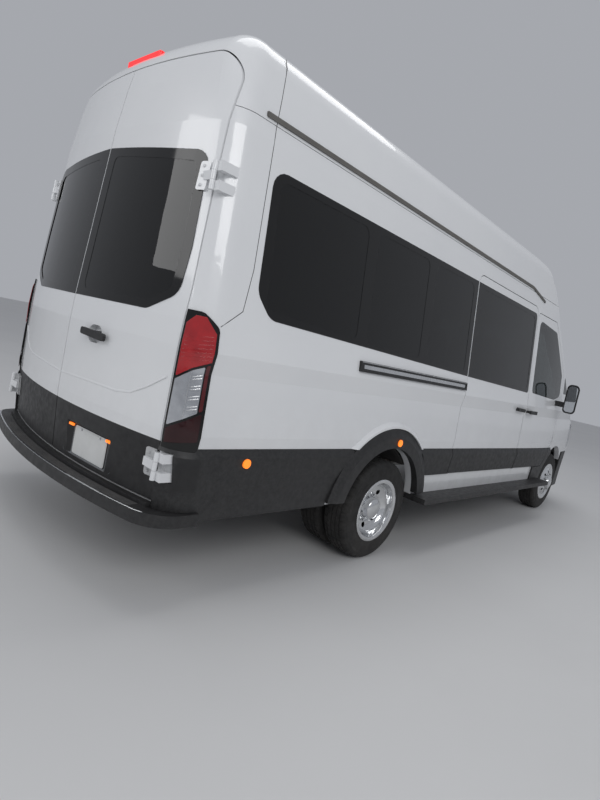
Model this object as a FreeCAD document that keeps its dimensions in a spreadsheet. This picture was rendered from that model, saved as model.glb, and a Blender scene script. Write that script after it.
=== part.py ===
import FreeCAD, Part
import math
import os
import re
import Sketcher
from FreeCAD import Placement, Rotation, Vector

# A high-roof, extended-length passenger minibus with twin rear wheels.
# Millimetres. X points forward, Y to the left side, Z up.
# The origin is on the ground, at mid-length on the centreline.

SIZES = {
    # overall
    "overall_length": 6704,
    "wheelbase": 3750,
    "front_overhang": 1023,
    "roof_height": 2765,
    "wall": 55,
    "panel_gap": 7,
    "seat_gap": 0.3,
    # body levels
    "sill_bottom": 430,
    "sill_top": 575,
    "cladding_top": 792,
    "glass_top": 2140,
    "gutter": 2357,
    "floor_top": 700,
    "floor_thick": 60,
    # wheels
    "tyre_radius": 350,
    "tyre_width": 195,
    "rim_radius": 207,
    "front_track_half": 866,
    "twin_track_half": 822.5,
    "twin_spacing": 225,
    "arch_radius": 455,
    "flare_width": 135,
    "flare_reach": 1063,
    "swell_width": 72,
    "swell_reach": 1052,
    "kingpin_half": 790,
    "spindle_radius": 30,
    "bearing_clearance": 1,
    # doors
    "front_door_rear": 931,
    "front_door_front": 2060,
    "slide_door_rear": -500,
    "slide_door_front": 919,
    "slide_door_top": 2235,
    "rear_door_half": 905,
    "rear_door_bottom": 508,
    "rear_door_top": 2625,
    "front_hinge_half": 1008,
    "rear_hinge_half": 935,
    "rear_hinge_reach": 3180,
    "hinge_low": 687,
    "hinge_high": 2014,
    "hinge_lean_in": 47,
    "hinge_lean_fore": 39,
    "bonnet_rear": 2715,
    "bonnet_hinge_level": 1262,
    "bonnet_thick": 30,
    "glass_thick": 6,
    "cladding_thick": 22,
    "trim_proud": 8,
    "rail_proud": 16,
    "handle_proud": 32,
    # outside pieces
    "step_top": 480,
    "step_thick": 60,
    "board_thick": 40,
    "board_reach": 1145,
    "board_rear": -980,
    "board_front": 1830,
    # running gear
    "rail_half": 430,
    "rail_width": 80,
    "rail_bottom": 520,
    "axle_radius": 50,
    "spring_half": 535,
    "spring_width": 60,
    "shaft_radius": 40,
    "tow_socket_front": 3030,
    "tow_socket_side": 260,
    "tow_socket_level": 500,
    "tow_socket_radius": 10,
    "tow_socket_depth": 60,
    "plate_side": 362,
    "plate_level": 612,
    "plate_recess": 24,
    "plate_hole_level": 676,
    "plate_hole_spacing": 178,
    "plate_hole_radius": 3.5,
}

doc = FreeCAD.newDocument("minibus")
sheet = doc.addObject("Spreadsheet::Sheet", "Sizes")
for row, (alias, number) in enumerate(SIZES.items(), start=1):
    sheet.set("A%d" % row, alias)
    sheet.set("B%d" % row, str(number))
    sheet.setAlias("B%d" % row, alias)
doc.recompute()


def size(alias):
    return float(sheet.get(alias))


def tied(text):
    """A formula with each size's name led by the sheet's own name."""
    def lead(word):
        return "Sizes." + word.group() if word.group() in SIZES else word.group()
    return re.sub(r"[a-z][a-z_]+", lead, text)


LENGTH = size("overall_length")
NOSE = LENGTH / 2
FRONT_AXLE = NOSE - size("front_overhang")
REAR_AXLE = FRONT_AXLE - size("wheelbase")
WALL = size("wall")
GAP = size("panel_gap")
ROOF = size("roof_height")
FRONT_AXLE_F = "(overall_length / 2 - front_overhang)"
REAR_AXLE_F = "(overall_length / 2 - front_overhang - wheelbase)"


# Outlines

def rounded_wire(corners, place):
    """A closed wire of lines and arcs. Corners are (u, v, radius), place turns (u, v) into a point."""
    count = len(corners)
    starts = []
    ends = []
    middles = []
    for index, (u, v, radius) in enumerate(corners):
        here = Vector(u, v, 0)
        before = Vector(corners[index - 1][0], corners[index - 1][1], 0) - here
        after_corner = corners[(index + 1) % count]
        after = Vector(after_corner[0], after_corner[1], 0) - here
        before.normalize()
        after.normalize()
        if radius == 0:
            starts.append(here)
            ends.append(here)
            middles.append(None)
            continue
        half = before.getAngle(after) / 2
        reach = radius / math.tan(half)
        bisector = (before + after).normalize()
        starts.append(here + before * reach)
        ends.append(here + after * reach)
        middles.append(here + bisector * (radius / math.sin(half) - radius))
    edges = []
    for index in range(count):
        if middles[index] is not None:
            edges.append(Part.Arc(place(starts[index]), place(middles[index]), place(ends[index])).toShape())
        following = starts[(index + 1) % count]
        if (ends[index] - following).Length > 0.001:
            edges.append(Part.LineSegment(place(ends[index]), place(following)).toShape())
    return Part.Wire(edges)


def prism_x(corners, low, high):
    """Corners are (y, z, radius), drawn along X."""
    wire = rounded_wire(corners, lambda p: Vector(low, p.x, p.y))
    return Part.Face(wire).extrude(Vector(high - low, 0, 0))


def prism_y(corners, low, high):
    """Corners are (x, z, radius), drawn along Y."""
    wire = rounded_wire(corners, lambda p: Vector(p.x, low, p.y))
    return Part.Face(wire).extrude(Vector(0, high - low, 0))


def prism_z(corners, low, high):
    """Corners are (x, y, radius), drawn along Z."""
    wire = rounded_wire(corners, lambda p: Vector(p.x, p.y, low))
    return Part.Face(wire).extrude(Vector(0, 0, high - low))


def box(x, y, z):
    return Part.makeBox(x[1] - x[0], y[1] - y[0], z[1] - z[0], Vector(x[0], y[0], z[0]))


def inset_corners(corners, step):
    """The outline moved inwards by a step. It runs anticlockwise."""
    moved = []
    count = len(corners)
    for index, (u, v, radius) in enumerate(corners):
        before = corners[index - 1]
        after = corners[(index + 1) % count]
        first = Vector(u - before[0], v - before[1], 0).normalize()
        second = Vector(after[0] - u, after[1] - v, 0).normalize()
        turn = first.x * second.y - first.y * second.x
        normal = Vector(-first.y - second.y, first.x + second.x, 0)
        scale = step / (1 + first.x * second.x + first.y * second.y)
        bend = radius - step if turn > 0 else radius + step
        moved.append((u + normal.x * scale, v + normal.y * scale, max(bend, 0) if radius else 0))
    return moved


def mirrored(shape):
    return shape.mirror(Vector(0, 0, 0), Vector(0, 1, 0))


# The body's outer form. Its plan sections, one per height, are lofted.
# Columns: height, half width, reach of the tail behind the origin, corner radius.
SECTIONS = (
    (240, 1000, 3215, 150),
    (430, 1005, 3235, 150),
    (790, 1026, 3262, 140),
    (850, 1032, 3266, 140),
    (1140, 1014, 3268, 140),
    (1240, 1030, 3268, 140),
    (1362, 1013, 3264, 140),
    (2280, 904, 3207, 152),
    (2500, 870, 3180, 165),
    (2765, 826, 3135, 185),
)
TAIL_BOW = 105
TAIL_BOW_AT = 880
TAIL_ROUND = (TAIL_BOW_AT ** 2 + TAIL_BOW ** 2) / (2 * TAIL_BOW)
TAPER_START = 1300
TAPER_RUN = 1600
TAPER_DROP = 95
NOSE_BOW_RADIUS = 2600
NOSE_CORNER = 330
NOSE_SPARE = 28
SHOULDER = 185


def circles_meet(first, first_radius, second, second_radius):
    """The left-side meeting point of two circles."""
    apart = second - first
    along = (first_radius ** 2 - second_radius ** 2 + apart.Length ** 2) / (2 * apart.Length)
    aside = math.sqrt(first_radius ** 2 - along ** 2)
    way = Vector(apart).normalize()
    across = Vector(-way.y, way.x, 0)
    points = [first + way * along + across * (aside * sign) for sign in (1, -1)]
    return max(points, key=lambda point: point.y + point.x)


def plan_section(height, half_width, tail, corner, inset):
    """One plan section: bowed tail, rounded corners, straight sides, tapered cab and bowed nose."""
    half = half_width - inset
    tail = tail - inset
    corner = max(corner - inset, 40)
    nose = NOSE + NOSE_SPARE - inset
    bow_centre = Vector(TAIL_ROUND - tail, 0, 0)
    round_centre = Vector(
        bow_centre.x - math.sqrt((TAIL_ROUND - corner) ** 2 - (half - corner) ** 2), half - corner, 0)
    out = (round_centre - bow_centre).normalize()
    tail_end = bow_centre + out * TAIL_ROUND
    tail_mid = round_centre + (out + Vector(0, 1, 0)).normalize() * corner
    side_rear = Vector(round_centre.x, half, 0)
    side_front = Vector(TAPER_START, half, 0)
    taper = (TAPER_RUN ** 2 + TAPER_DROP ** 2) / (2 * TAPER_DROP)
    taper_centre = Vector(TAPER_START, half - taper, 0)
    nose_centre = Vector(nose - NOSE_BOW_RADIUS, 0, 0)
    nose_corner = NOSE_CORNER - inset
    nose_round = circles_meet(taper_centre, taper - nose_corner, nose_centre, NOSE_BOW_RADIUS - nose_corner)
    taper_way = (nose_round - taper_centre).normalize()
    nose_way = (nose_round - nose_centre).normalize()
    taper_end = taper_centre + taper_way * taper
    taper_mid = taper_centre + (taper_way + Vector(0, 1, 0)).normalize() * taper
    nose_mid = nose_round + (taper_way + nose_way).normalize() * nose_corner
    nose_end = nose_centre + nose_way * NOSE_BOW_RADIUS

    def left(point):
        return Vector(point.x, point.y, height)

    def right(point):
        return Vector(point.x, -point.y, height)

    def arc(start, middle, end):
        return Part.Arc(start, middle, end).toShape()

    return Part.Wire([
        arc(right(tail_end), Vector(-tail, 0, height), left(tail_end)),
        arc(left(tail_end), left(tail_mid), left(side_rear)),
        Part.LineSegment(left(side_rear), left(side_front)).toShape(),
        arc(left(side_front), left(taper_mid), left(taper_end)),
        arc(left(taper_end), left(nose_mid), left(nose_end)),
        arc(left(nose_end), Vector(nose, 0, height), right(nose_end)),
        arc(right(nose_end), right(nose_mid), right(taper_end)),
        arc(right(taper_end), right(taper_mid), right(side_front)),
        Part.LineSegment(right(side_front), right(side_rear)).toShape(),
        arc(right(side_rear), right(tail_mid), right(tail_end)),
    ])


# The front's side view, turned about an upright axis so that glass, bonnet and nose are bowed.
# Columns: along, height, corner radius.
BOW_AXIS = -600
FRONT_PROFILE = (
    (BOW_AXIS, 200, 0),
    (3240, 200, 0),
    (3352, 380, 60),
    (3352, 640, 60),
    (3296, 760, 60),
    (3236, 1010, 130),
    (2640, 1305, 40),
    (1870, 2115, 200),
    (1590, 2490, 300),
    (1330, 2690, 300),
    (600, 2790, 0),
    (BOW_AXIS, 2790, 0),
)


forms = {}


def body_form(inset):
    """The whole body as one solid, moved inwards by an inset. Each is made once."""
    if inset not in forms:
        forms[inset] = make_form(inset)
    return forms[inset]


def make_form(inset):
    wires = []
    for height, half_width, tail, corner in SECTIONS:
        level = height - inset if height == SECTIONS[-1][0] else height
        wires.append(plan_section(level, half_width, tail, corner, inset))
    tall = Part.makeLoft(wires, True, True)
    lid = max(tall.Faces, key=lambda face: face.CenterOfMass.z)
    tall = tall.makeFillet(SHOULDER - inset, lid.Edges)
    profile = inset_corners(FRONT_PROFILE, inset)
    profile[0] = (BOW_AXIS, FRONT_PROFILE[0][1], 0)
    profile[-1] = (BOW_AXIS, profile[-2][1], 0)
    wire = rounded_wire(profile, lambda p: Vector(p.x, 0, p.y))
    front = Part.Face(wire).revolve(Vector(BOW_AXIS, 0, 0), Vector(0, 0, 1), 180)
    front.rotate(Vector(BOW_AXIS, 0, 0), Vector(0, 0, 1), -90)
    behind = box((-LENGTH, BOW_AXIS), (-LENGTH, LENGTH), (profile[0][1], profile[-1][1]))
    return tall.common(front.fuse(behind))


CLEAR = size("seat_gap")
LAMP_DEEP = 45
outer = body_form(0)
inner = body_form(WALL)
room = body_form(WALL + CLEAR)
round_body = body_form(-CLEAR)
shell = outer.cut(inner)
door_shell = outer.cut(body_form(WALL - CLEAR))
lamp_shell = outer.cut(body_form(LAMP_DEEP))
skin = outer.cut(body_form(size("glass_thick")))


def row_at(height):
    """The body's half width, tail reach and corner radius at any height."""
    for low, high in zip(SECTIONS, SECTIONS[1:]):
        if low[0] <= height <= high[0]:
            share = (height - low[0]) / (high[0] - low[0])
            return [first + (second - first) * share for first, second in zip(low[1:], high[1:])]


def skin_layer(low, high):
    """A layer outside the body, from one distance to another."""
    return body_form(-high).cut(body_form(-low))


def belt_form(levels):
    """A band round the body as one solid. Levels are (height, how far proud of the body)."""
    wires = [plan_section(height, *row_at(height), -proud) for height, proud in levels]
    return Part.makeLoft(wires, True, True)


pieces = []


def panel(label, shape):
    """A body panel whose form is cut from the one body form."""
    feature = doc.addObject("Part::Feature", label)
    feature.Label = label
    feature.Shape = shape
    feature.Placement = Placement()
    pieces.append(feature)
    return feature


def piece(obj, label):
    obj.Label = label
    pieces.append(obj)
    return obj


# Zones of the body, seen from the side (x, z, radius) on the right or from the rear (y, z, radius).
DOOR_BOTTOM = size("sill_top")
GUTTER = size("gutter")
FRONT_DOOR = (
    (size("front_door_rear"), DOOR_BOTTOM, 30),
    (1815, DOOR_BOTTOM, 40),
    (size("front_door_front"), 960, 150),
    (size("front_door_front"), 1640, 60),
    (1590, 2125, 60),
    (1530, 2190, 60),
    (size("front_door_rear"), 2190, 60),
)
SLIDE_DOOR = (
    (size("slide_door_rear"), DOOR_BOTTOM, 40),
    (size("slide_door_front"), DOOR_BOTTOM, 30),
    (size("slide_door_front"), size("slide_door_top"), 90),
    (size("slide_door_rear"), size("slide_door_top"), 90),
)
REAR_OPENING = (
    (-size("rear_door_half"), size("rear_door_bottom") - GAP, 0),
    (size("rear_door_half"), size("rear_door_bottom") - GAP, 0),
    (size("rear_door_half"), 1500, 600),
    (832, size("rear_door_top"), 170),
    (-832, size("rear_door_top"), 170),
    (-size("rear_door_half"), 1500, 600),
)
REAR_DEPTH = -3000
BEYOND = 3500
GLASS_TOP = size("glass_top")
# Windows of one side, behind the cab. Columns: rear edge, front edge, sill height at each.
SIDE_WINDOWS = (
    (-2790, -2010, 1480, 1440),
    (-1935, -1275, 1436, 1424),
    (-1200, -560, 1422, 1412),
    (-435, 862, 1408, 1385),
)
CAB_WINDOW = (
    (1010, 1375, 40),
    (1740, 1350, 60),
    (1965, 1400, 60),
    (1965, 1640, 30),
    (1570, 2080, 60),
    (1010, 2120, 70),
)
QUARTER_WINDOW = ((2120, 1440, 15), (2330, 1440, 15), (2120, 1650, 15))
REAR_WINDOW = (
    (62, 1395, 60),
    (650, 1400, 80),
    (800, 1475, 70),
    (805, 1690, 200),
    (770, 2100, 70),
    (62, 2145, 50),
)
WINDSCREEN = (
    (-845, 1335, 60),
    (845, 1335, 60),
    (720, 2095, 90),
    (-720, 2095, 90),
)


def side_window(rear, front, rear_sill, front_sill, step=0):
    corners = ((rear, rear_sill, 60), (front, front_sill, 60), (front, GLASS_TOP, 70), (rear, GLASS_TOP, 70))
    return prism_y(inset_corners(corners, step), -BEYOND, -600)


def both(shape):
    return shape.fuse(mirrored(shape))


right_front_door = prism_y(FRONT_DOOR, -BEYOND, -600)
right_slide_door = prism_y(SLIDE_DOOR, -BEYOND, -600)
rear_opening = prism_x(REAR_OPENING, -BEYOND, REAR_DEPTH)
windscreen_zone = prism_x(WINDSCREEN, 1200, BEYOND)


def wheel_zone(along, radius):
    """A round zone about a wheel's axis on the right side, as deep as its arch."""
    return Part.makeCylinder(radius, 1350, Vector(along, -2000, size("tyre_radius")), Vector(0, 1, 0))


front_arch = wheel_zone(FRONT_AXLE, size("arch_radius"))
rear_arch = wheel_zone(REAR_AXLE, size("arch_radius"))

LAMP_BOTTOM = 775
LAMP_TOP = 1412
TAIL_LAMP = (
    (-BEYOND, LAMP_BOTTOM, 0),
    (-3035, LAMP_BOTTOM, 20),
    (-3035, 1350, 40),
    (-3110, LAMP_TOP, 30),
    (-BEYOND, LAMP_TOP, 0),
)
LAMP_INNER = 915
tail_lamp_zone = prism_y(TAIL_LAMP, -BEYOND, -LAMP_INNER)

# The wing reaches back to the front door's edge.
WING_REAR = 1815
COWL = 1320
WING = (
    (WING_REAR, size("sill_bottom"), 0),
    (2700, size("sill_bottom"), 0),
    (2700, COWL - GAP / 2, 0),
    (size("front_door_front"), COWL - GAP / 2, 0),
    (size("front_door_front"), 900, 0),
    (WING_REAR, DOOR_BOTTOM, 0),
)
wing_zone = prism_y(WING, -BEYOND, 0)
side_zone = box((-BEYOND, WING_REAR - GAP / 2), (-BEYOND, 0), (size("sill_bottom"), GUTTER - 2))
side_zone = side_zone.fuse(box((1000, BEYOND), (-BEYOND, 0), (COWL + GAP / 2, GUTTER - 2)))


# The post behind the door gaps, inside the wall. It stands on the floor.
POST_FOOT = size("floor_top") + CLEAR
POST = ((830, POST_FOOT, 20), (1020, POST_FOOT, 20), (990, 2235, 20), (860, 2235, 20))
POST_THICK = 35
post = inner.cut(body_form(WALL + POST_THICK)).common(prism_y(POST, -BEYOND, -600))


# White swelling round the rear arch, outside the black flare
swell_radius = size("arch_radius") + size("flare_width") + CLEAR
swell = Part.makeCone(
    swell_radius + size("swell_width"), swell_radius + 14, 60,
    Vector(REAR_AXLE, 60 - size("swell_reach"), size("tyre_radius")), Vector(0, -1, 0))
swell = swell.cut(wheel_zone(REAR_AXLE, swell_radius)).cut(body_form(size("glass_thick"))).common(
    box((-BEYOND, BEYOND), (-size("swell_reach"), 0), (size("cladding_top"), GUTTER)))


def side_panel(doors):
    """One side from the windscreen to the tail, with its openings."""
    panel_shape = shell.common(side_zone).cut(rear_opening).cut(windscreen_zone).cut(tail_lamp_zone)
    panel_shape = panel_shape.cut(right_front_door).cut(rear_arch).cut(front_arch)
    for window in SIDE_WINDOWS[:3 if doors else 4]:
        panel_shape = panel_shape.cut(side_window(*window))
    panel_shape = panel_shape.cut(prism_y(QUARTER_WINDOW, -BEYOND, -600))
    if doors:
        panel_shape = panel_shape.cut(right_slide_door)
    return panel_shape.fuse(post).fuse(swell)


def solids_over(shape, volume):
    """The shape without slivers."""
    kept = [solid for solid in shape.Solids if solid.Volume > volume]
    return kept[0] if len(kept) == 1 else Part.makeCompound(kept)


SLIVER = 20000
panel("side_panel_right", solids_over(side_panel(True), SLIVER))
panel("side_panel_left", mirrored(solids_over(side_panel(False), SLIVER)))

roof_zone = box((-BEYOND, BEYOND), (-BEYOND, BEYOND), (GUTTER + 2, ROOF + 100))
panel("roof_panel", solids_over(shell.common(roof_zone).cut(rear_opening).cut(windscreen_zone), SLIVER))


def door(outline):
    """A door cut from the wall, a gap smaller all round."""
    return door_shell.common(prism_y(inset_corners(outline, GAP), -BEYOND, -600))


front_door = door(FRONT_DOOR).cut(front_arch).cut(prism_y(CAB_WINDOW, -BEYOND, -600))
slide_door = door(SLIDE_DOOR).cut(side_window(*SIDE_WINDOWS[3]))
panel("front_door_right", solids_over(front_door, SLIVER))
panel("front_door_left", mirrored(solids_over(front_door, SLIVER)))
panel("sliding_door", solids_over(slide_door, SLIVER))


def pane(zone):
    return solids_over(skin.common(zone), 1000)


cab_pane = pane(prism_y(inset_corners(CAB_WINDOW, CLEAR), -BEYOND, -600))
panel("front_glass_right", cab_pane)
panel("front_glass_left", mirrored(cab_pane))
panel("sliding_door_glass", pane(side_window(*SIDE_WINDOWS[3], CLEAR)))
panel("windscreen", pane(prism_x(inset_corners(WINDSCREEN, CLEAR), 1200, BEYOND)))

side_panes = []
quarter_pane = pane(prism_y(inset_corners(QUARTER_WINDOW, CLEAR), -BEYOND, -600))
for index, window in enumerate(SIDE_WINDOWS):
    glass = pane(side_window(*window, CLEAR))
    side_panes.append(mirrored(glass))
    if index < 3:
        side_panes.append(glass)
side_panes += [quarter_pane, mirrored(quarter_pane)]
panel("side_glass", Part.makeCompound(side_panes))

# Rear doors. The right one is made and mirrored.
right_half = box((-BEYOND, REAR_DEPTH), (-BEYOND, -GAP / 2), (0, ROOF))
rear_door_zone = prism_x(inset_corners(REAR_OPENING, GAP), -BEYOND, REAR_DEPTH).common(right_half)
rear_window_right = [(-y, z, radius) for y, z, radius in reversed(REAR_WINDOW)]
rear_whole = door_shell.common(rear_door_zone).cut(prism_x(rear_window_right, -BEYOND, REAR_DEPTH))
DOOR_SPLIT = size("cladding_top") + 4
above_split = box((-BEYOND, BEYOND), (-BEYOND, BEYOND), (DOOR_SPLIT, ROOF))
rear_door = solids_over(rear_whole.common(above_split), SLIVER)
rear_lower = solids_over(rear_whole.cut(above_split), SLIVER)

# The number plate's recess in the right door, square to the bowed tail
plate_turn = math.asin(size("plate_side") / TAIL_ROUND)
plate_out = Vector(-math.cos(plate_turn), -math.sin(plate_turn), 0)
plate_along = Vector(-math.sin(plate_turn), math.cos(plate_turn), 0)
plate_spot = plate_out * TAIL_ROUND
plate_spot += Vector(TAIL_ROUND - row_at(size("plate_level"))[1], 0, size("plate_level"))
PLATE_MOUTH = ((-235, -86, 20), (235, -86, 20), (235, 98, 20), (-235, 98, 20))
PLATE_FLOOR = ((-162, -80, 8), (162, -80, 8), (162, 84, 8), (-162, 84, 8))


def plate_wire(corners, out):
    start = plate_spot + plate_out * out
    return rounded_wire(corners, lambda p: start + plate_along * p.x + Vector(0, 0, p.y))


plate_recess = Part.makeLoft(
    [plate_wire(PLATE_MOUTH, 14), plate_wire(PLATE_FLOOR, -size("plate_recess"))], True, True)
hole_rise = Vector(0, 0, size("plate_hole_level") - size("plate_level"))
plate_holes = [Part.makeCylinder(
    size("plate_hole_radius"), 200,
    plate_spot + plate_along * (sign * size("plate_hole_spacing") / 2) + hole_rise, plate_out * -1)
    for sign in (-1, 1)]
HANDLE_CUP = ((-356, 1145, 44), (-232, 1145, 44), (-232, 1237, 44), (-356, 1237, 44))
CUP_FLOOR = size("bonnet_thick") + CLEAR
handle_cup = prism_x(HANDLE_CUP, -BEYOND, REAR_DEPTH).cut(body_form(CUP_FLOOR))
rear_pane = pane(prism_x(inset_corners(rear_window_right, CLEAR), -BEYOND, REAR_DEPTH))
panel("rear_door_right", solids_over(rear_door.cut(handle_cup), SLIVER))
panel("rear_door_left", mirrored(rear_door))
panel("rear_lower_panel_right", solids_over(rear_lower.cut(plate_recess).cut(plate_holes), SLIVER))
panel("rear_lower_panel_left", mirrored(rear_lower))
panel("rear_glass_right", rear_pane)
panel("rear_glass_left", mirrored(rear_pane))

# Handle of the right rear door, standing in its cup
HANDLE_BAR = ((-423, 1166, 14), (-205, 1178, 14), (-205, 1214, 14), (-423, 1204, 14))
HANDLE_STALK = ((-345, 1172, 8), (-285, 1172, 8), (-285, 1208, 8), (-345, 1208, 8))
handle_bar = skin_layer(size("rail_proud"), size("handle_proud"))
handle_bar = handle_bar.common(prism_x(HANDLE_BAR, -BEYOND, REAR_DEPTH))
stalk = body_form(-size("rail_proud")).cut(body_form(size("bonnet_thick")))
stalk = stalk.common(prism_x(HANDLE_STALK, -BEYOND, REAR_DEPTH))
panel("rear_door_trim_right", solids_over(handle_bar.fuse(stalk), 1000))

# Outside hinges of the rear doors, two on each side. Their pins lie on one axis that leans with the body.
HINGE_TALL = 130
HINGE_GRIP = 95
HINGE_ARM = 45
HINGE_PLAY = 1.2
EAR_START = 8
PIN = 6
KNUCKLE = 12
HINGE_LOW = size("hinge_low")
HINGE_RISE = size("hinge_high") - HINGE_LOW
hinge_foot = Vector(-size("rear_hinge_reach"), -size("rear_hinge_half"), HINGE_LOW)
hinge_lean = Vector(size("hinge_lean_fore"), size("hinge_lean_in"), HINGE_RISE)
hinge_way = Vector(hinge_lean).normalize()
plate_layer = skin_layer(CLEAR, size("trim_proud"))


def hinge_drum(radius, middle, low, high):
    """A round piece on the hinge axis, between two distances along it from a hinge's middle."""
    return Part.makeCylinder(radius, high - low, middle + hinge_way * low, hinge_way)


leaves = []
brackets = []
third = HINGE_TALL / 3
for share in (0, 1):
    middle = hinge_foot + hinge_lean * share
    x, y, z = middle
    tall = (z - HINGE_TALL / 2, z + HINGE_TALL / 2)
    centre = (z - third / 2 + HINGE_PLAY, z + third / 2 - HINGE_PLAY)
    arm = box((x - 5, x + 7), (y, y + HINGE_GRIP), centre)
    arm = arm.fuse(box((x - 5, x + 60), (y + HINGE_ARM, y + HINGE_GRIP), centre)).cut(round_body)
    grip = plate_layer.common(box((x - 60, x + 60), (y + HINGE_ARM, y + HINGE_GRIP), tall))
    leaf = arm.fuse(grip).fuse(hinge_drum(KNUCKLE, middle, HINGE_PLAY - third / 2, third / 2 - HINGE_PLAY))
    leaves.append(leaf.cut(hinge_drum(PIN + CLEAR, middle, -HINGE_TALL, HINGE_TALL)))
    bracket = hinge_drum(PIN, middle, -HINGE_TALL / 2, HINGE_TALL / 2)
    for low in (-HINGE_TALL / 2, third / 2):
        ear = box((x + EAR_START, x + 100), (y - HINGE_ARM, y), (z + low, z + low + third)).cut(round_body)
        bracket = bracket.fuse(hinge_drum(KNUCKLE, middle, low, low + third)).fuse(ear)
    brackets.append(bracket)
leaf_pair = Part.makeCompound([solids_over(leaf, 1000) for leaf in leaves])
bracket_pair = Part.makeCompound([solids_over(bracket, 1000) for bracket in brackets])
panel("rear_hinge_leaves_right", leaf_pair)
panel("rear_hinge_leaves_left", mirrored(leaf_pair))
panel("rear_hinge_brackets", Part.makeCompound([bracket_pair, mirrored(bracket_pair)]))

# Lamps
tail_lamp = solids_over(body_form(-size("trim_proud")).cut(body_form(LAMP_DEEP)).common(
    prism_y(inset_corners(TAIL_LAMP, CLEAR), -BEYOND, -LAMP_INNER - CLEAR)), SLIVER)
panel("tail_lamps", Part.makeCompound([tail_lamp, mirrored(tail_lamp)]))

BUMPER_TOP = 720
BONNET = (
    (size("bonnet_rear"), -790, 30),
    (3130, -710, 60),
    (3400, -500, 0),
    (3400, 500, 0),
    (3130, 710, 60),
    (size("bonnet_rear"), 790, 30),
)
BONNET_FRONT_LEVEL = 985
GRILLE = ((-430, 750, 40), (430, 750, 40), (500, 960, 50), (-500, 960, 50))
HEADLAMP = (
    (-860, 1085, 60),
    (-BEYOND, 1085, 0),
    (-BEYOND, 800, 0),
    (-500, 775, 20),
    (-470, 850, 20),
    (-520, 985, 20),
)
bonnet_zone = prism_z(BONNET, BONNET_FRONT_LEVEL, 2000)
front_zone = box((2680, BEYOND), (-BEYOND, BEYOND), (BUMPER_TOP, COWL - GAP / 2))
front_zone = front_zone.fuse(both(wing_zone))
headlamp_zone = prism_x(HEADLAMP, 2900, BEYOND)
door_edge = prism_y(FRONT_DOOR, -BEYOND, -600)
front_end = shell.common(front_zone).cut(bonnet_zone).cut(windscreen_zone).cut(both(front_arch))
front_end = front_end.cut(both(door_edge)).cut(prism_x(GRILLE, 2900, BEYOND)).cut(both(headlamp_zone))
# The bonnet's landing ledge, under its inner face
ledge = body_form(size("bonnet_thick") + CLEAR).cut(inner).common(
    box((3050, BEYOND), (-440, 440), (BONNET_FRONT_LEVEL - 30, 1080)))
panel("front_end", solids_over(front_end.fuse(ledge), SLIVER))
panel("bonnet", solids_over(outer.cut(body_form(size("bonnet_thick"))).common(
    prism_z(inset_corners(BONNET, GAP), BONNET_FRONT_LEVEL + GAP, 2000)), SLIVER))
headlamp = lamp_shell.common(prism_x(inset_corners(HEADLAMP, CLEAR), 2900, BEYOND))
headlamp = solids_over(headlamp.cut(bonnet_zone), SLIVER)
panel("headlamps", Part.makeCompound([headlamp, mirrored(headlamp)]))

grille_skin = outer.cut(body_form(30))
grille_zone = prism_x(inset_corners(GRILLE, CLEAR), 2900, BEYOND)
grille_frame = grille_skin.common(grille_zone.cut(prism_x(inset_corners(GRILLE, 28), 2900, BEYOND)))
bars = [grille_frame]
for index in range(4):
    level = 745 + 42 * (index + 1)
    bars.append(grille_skin.common(grille_zone).common(box((2900, BEYOND), (-520, 520), (level, level + 22))))
panel("grille", solids_over(bars[0].multiFuse(bars[1:]), 1000))

bumper_zone = box((2790, BEYOND), (-BEYOND, BEYOND), (250, BUMPER_TOP - CLEAR))
front_bumper = lamp_shell.common(bumper_zone).cut(both(front_arch))
INTAKE = ((-420, 340, 40), (420, 340, 40), (500, 560, 60), (-500, 560, 60))
front_bumper = front_bumper.cut(prism_x(INTAKE, 2900, BEYOND))
panel("front_bumper", solids_over(front_bumper, SLIVER))

# Black cladding between the sill and the painted side. Its top slopes out from the body.
PROUD = size("cladding_thick")
CLAD_LOW = size("sill_top") + 3
CLAD_HIGH = size("cladding_top")
CLAD_LEVELS = (
    (size("sill_bottom"), PROUD - 6),
    (CLAD_LOW, PROUD - 6),
    (CLAD_HIGH - 45, PROUD),
    (CLAD_HIGH, 2),
)
CLAD_INNER = size("rear_door_half") + 3
clad_form = belt_form(CLAD_LEVELS).cut(round_body)
flare_zone = wheel_zone(REAR_AXLE, swell_radius)
TAIL_SKIRT_FRONT = -1900
SILL_FRONT = 1550
STEP_TOP = size("step_top")
STEP_FRONT = -2960
clad_side = clad_form.common(box((-BEYOND, size("front_door_front")), (-BEYOND, -CLAD_INNER), (0, CLAD_HIGH)))
clad_side = clad_side.cut(front_arch).cut(flare_zone).cut(tail_lamp_zone)
under_doors = box((TAIL_SKIRT_FRONT, SILL_FRONT), (-BEYOND, 0), (0, CLAD_LOW))
over_step = box((-BEYOND, STEP_FRONT + CLEAR), (-BEYOND, 0), (0, STEP_TOP + CLEAR))
hinge_pocket = box((-BEYOND, hinge_foot.x + 90), (hinge_foot.y - HINGE_ARM - 8, 0),
                   (HINGE_LOW - HINGE_TALL / 2 - 5, HINGE_LOW + HINGE_TALL / 2 + 5))
clad_side = clad_side.cut(under_doors).cut(over_step).cut(hinge_pocket)
door_cladding = clad_side.common(prism_y(inset_corners(FRONT_DOOR, GAP), -BEYOND, -600))
side_cladding = clad_side.cut(right_front_door)
left_cladding = mirrored(solids_over(side_cladding, 1000))
slide_cladding = side_cladding.common(prism_y(inset_corners(SLIDE_DOOR, GAP), -BEYOND, -600))
right_cladding = side_cladding.cut(right_slide_door).fuse(slide_cladding)
panel("side_cladding", Part.makeCompound([left_cladding, solids_over(right_cladding, 1000)]))
door_strip = solids_over(door_cladding, 1000)


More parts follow.
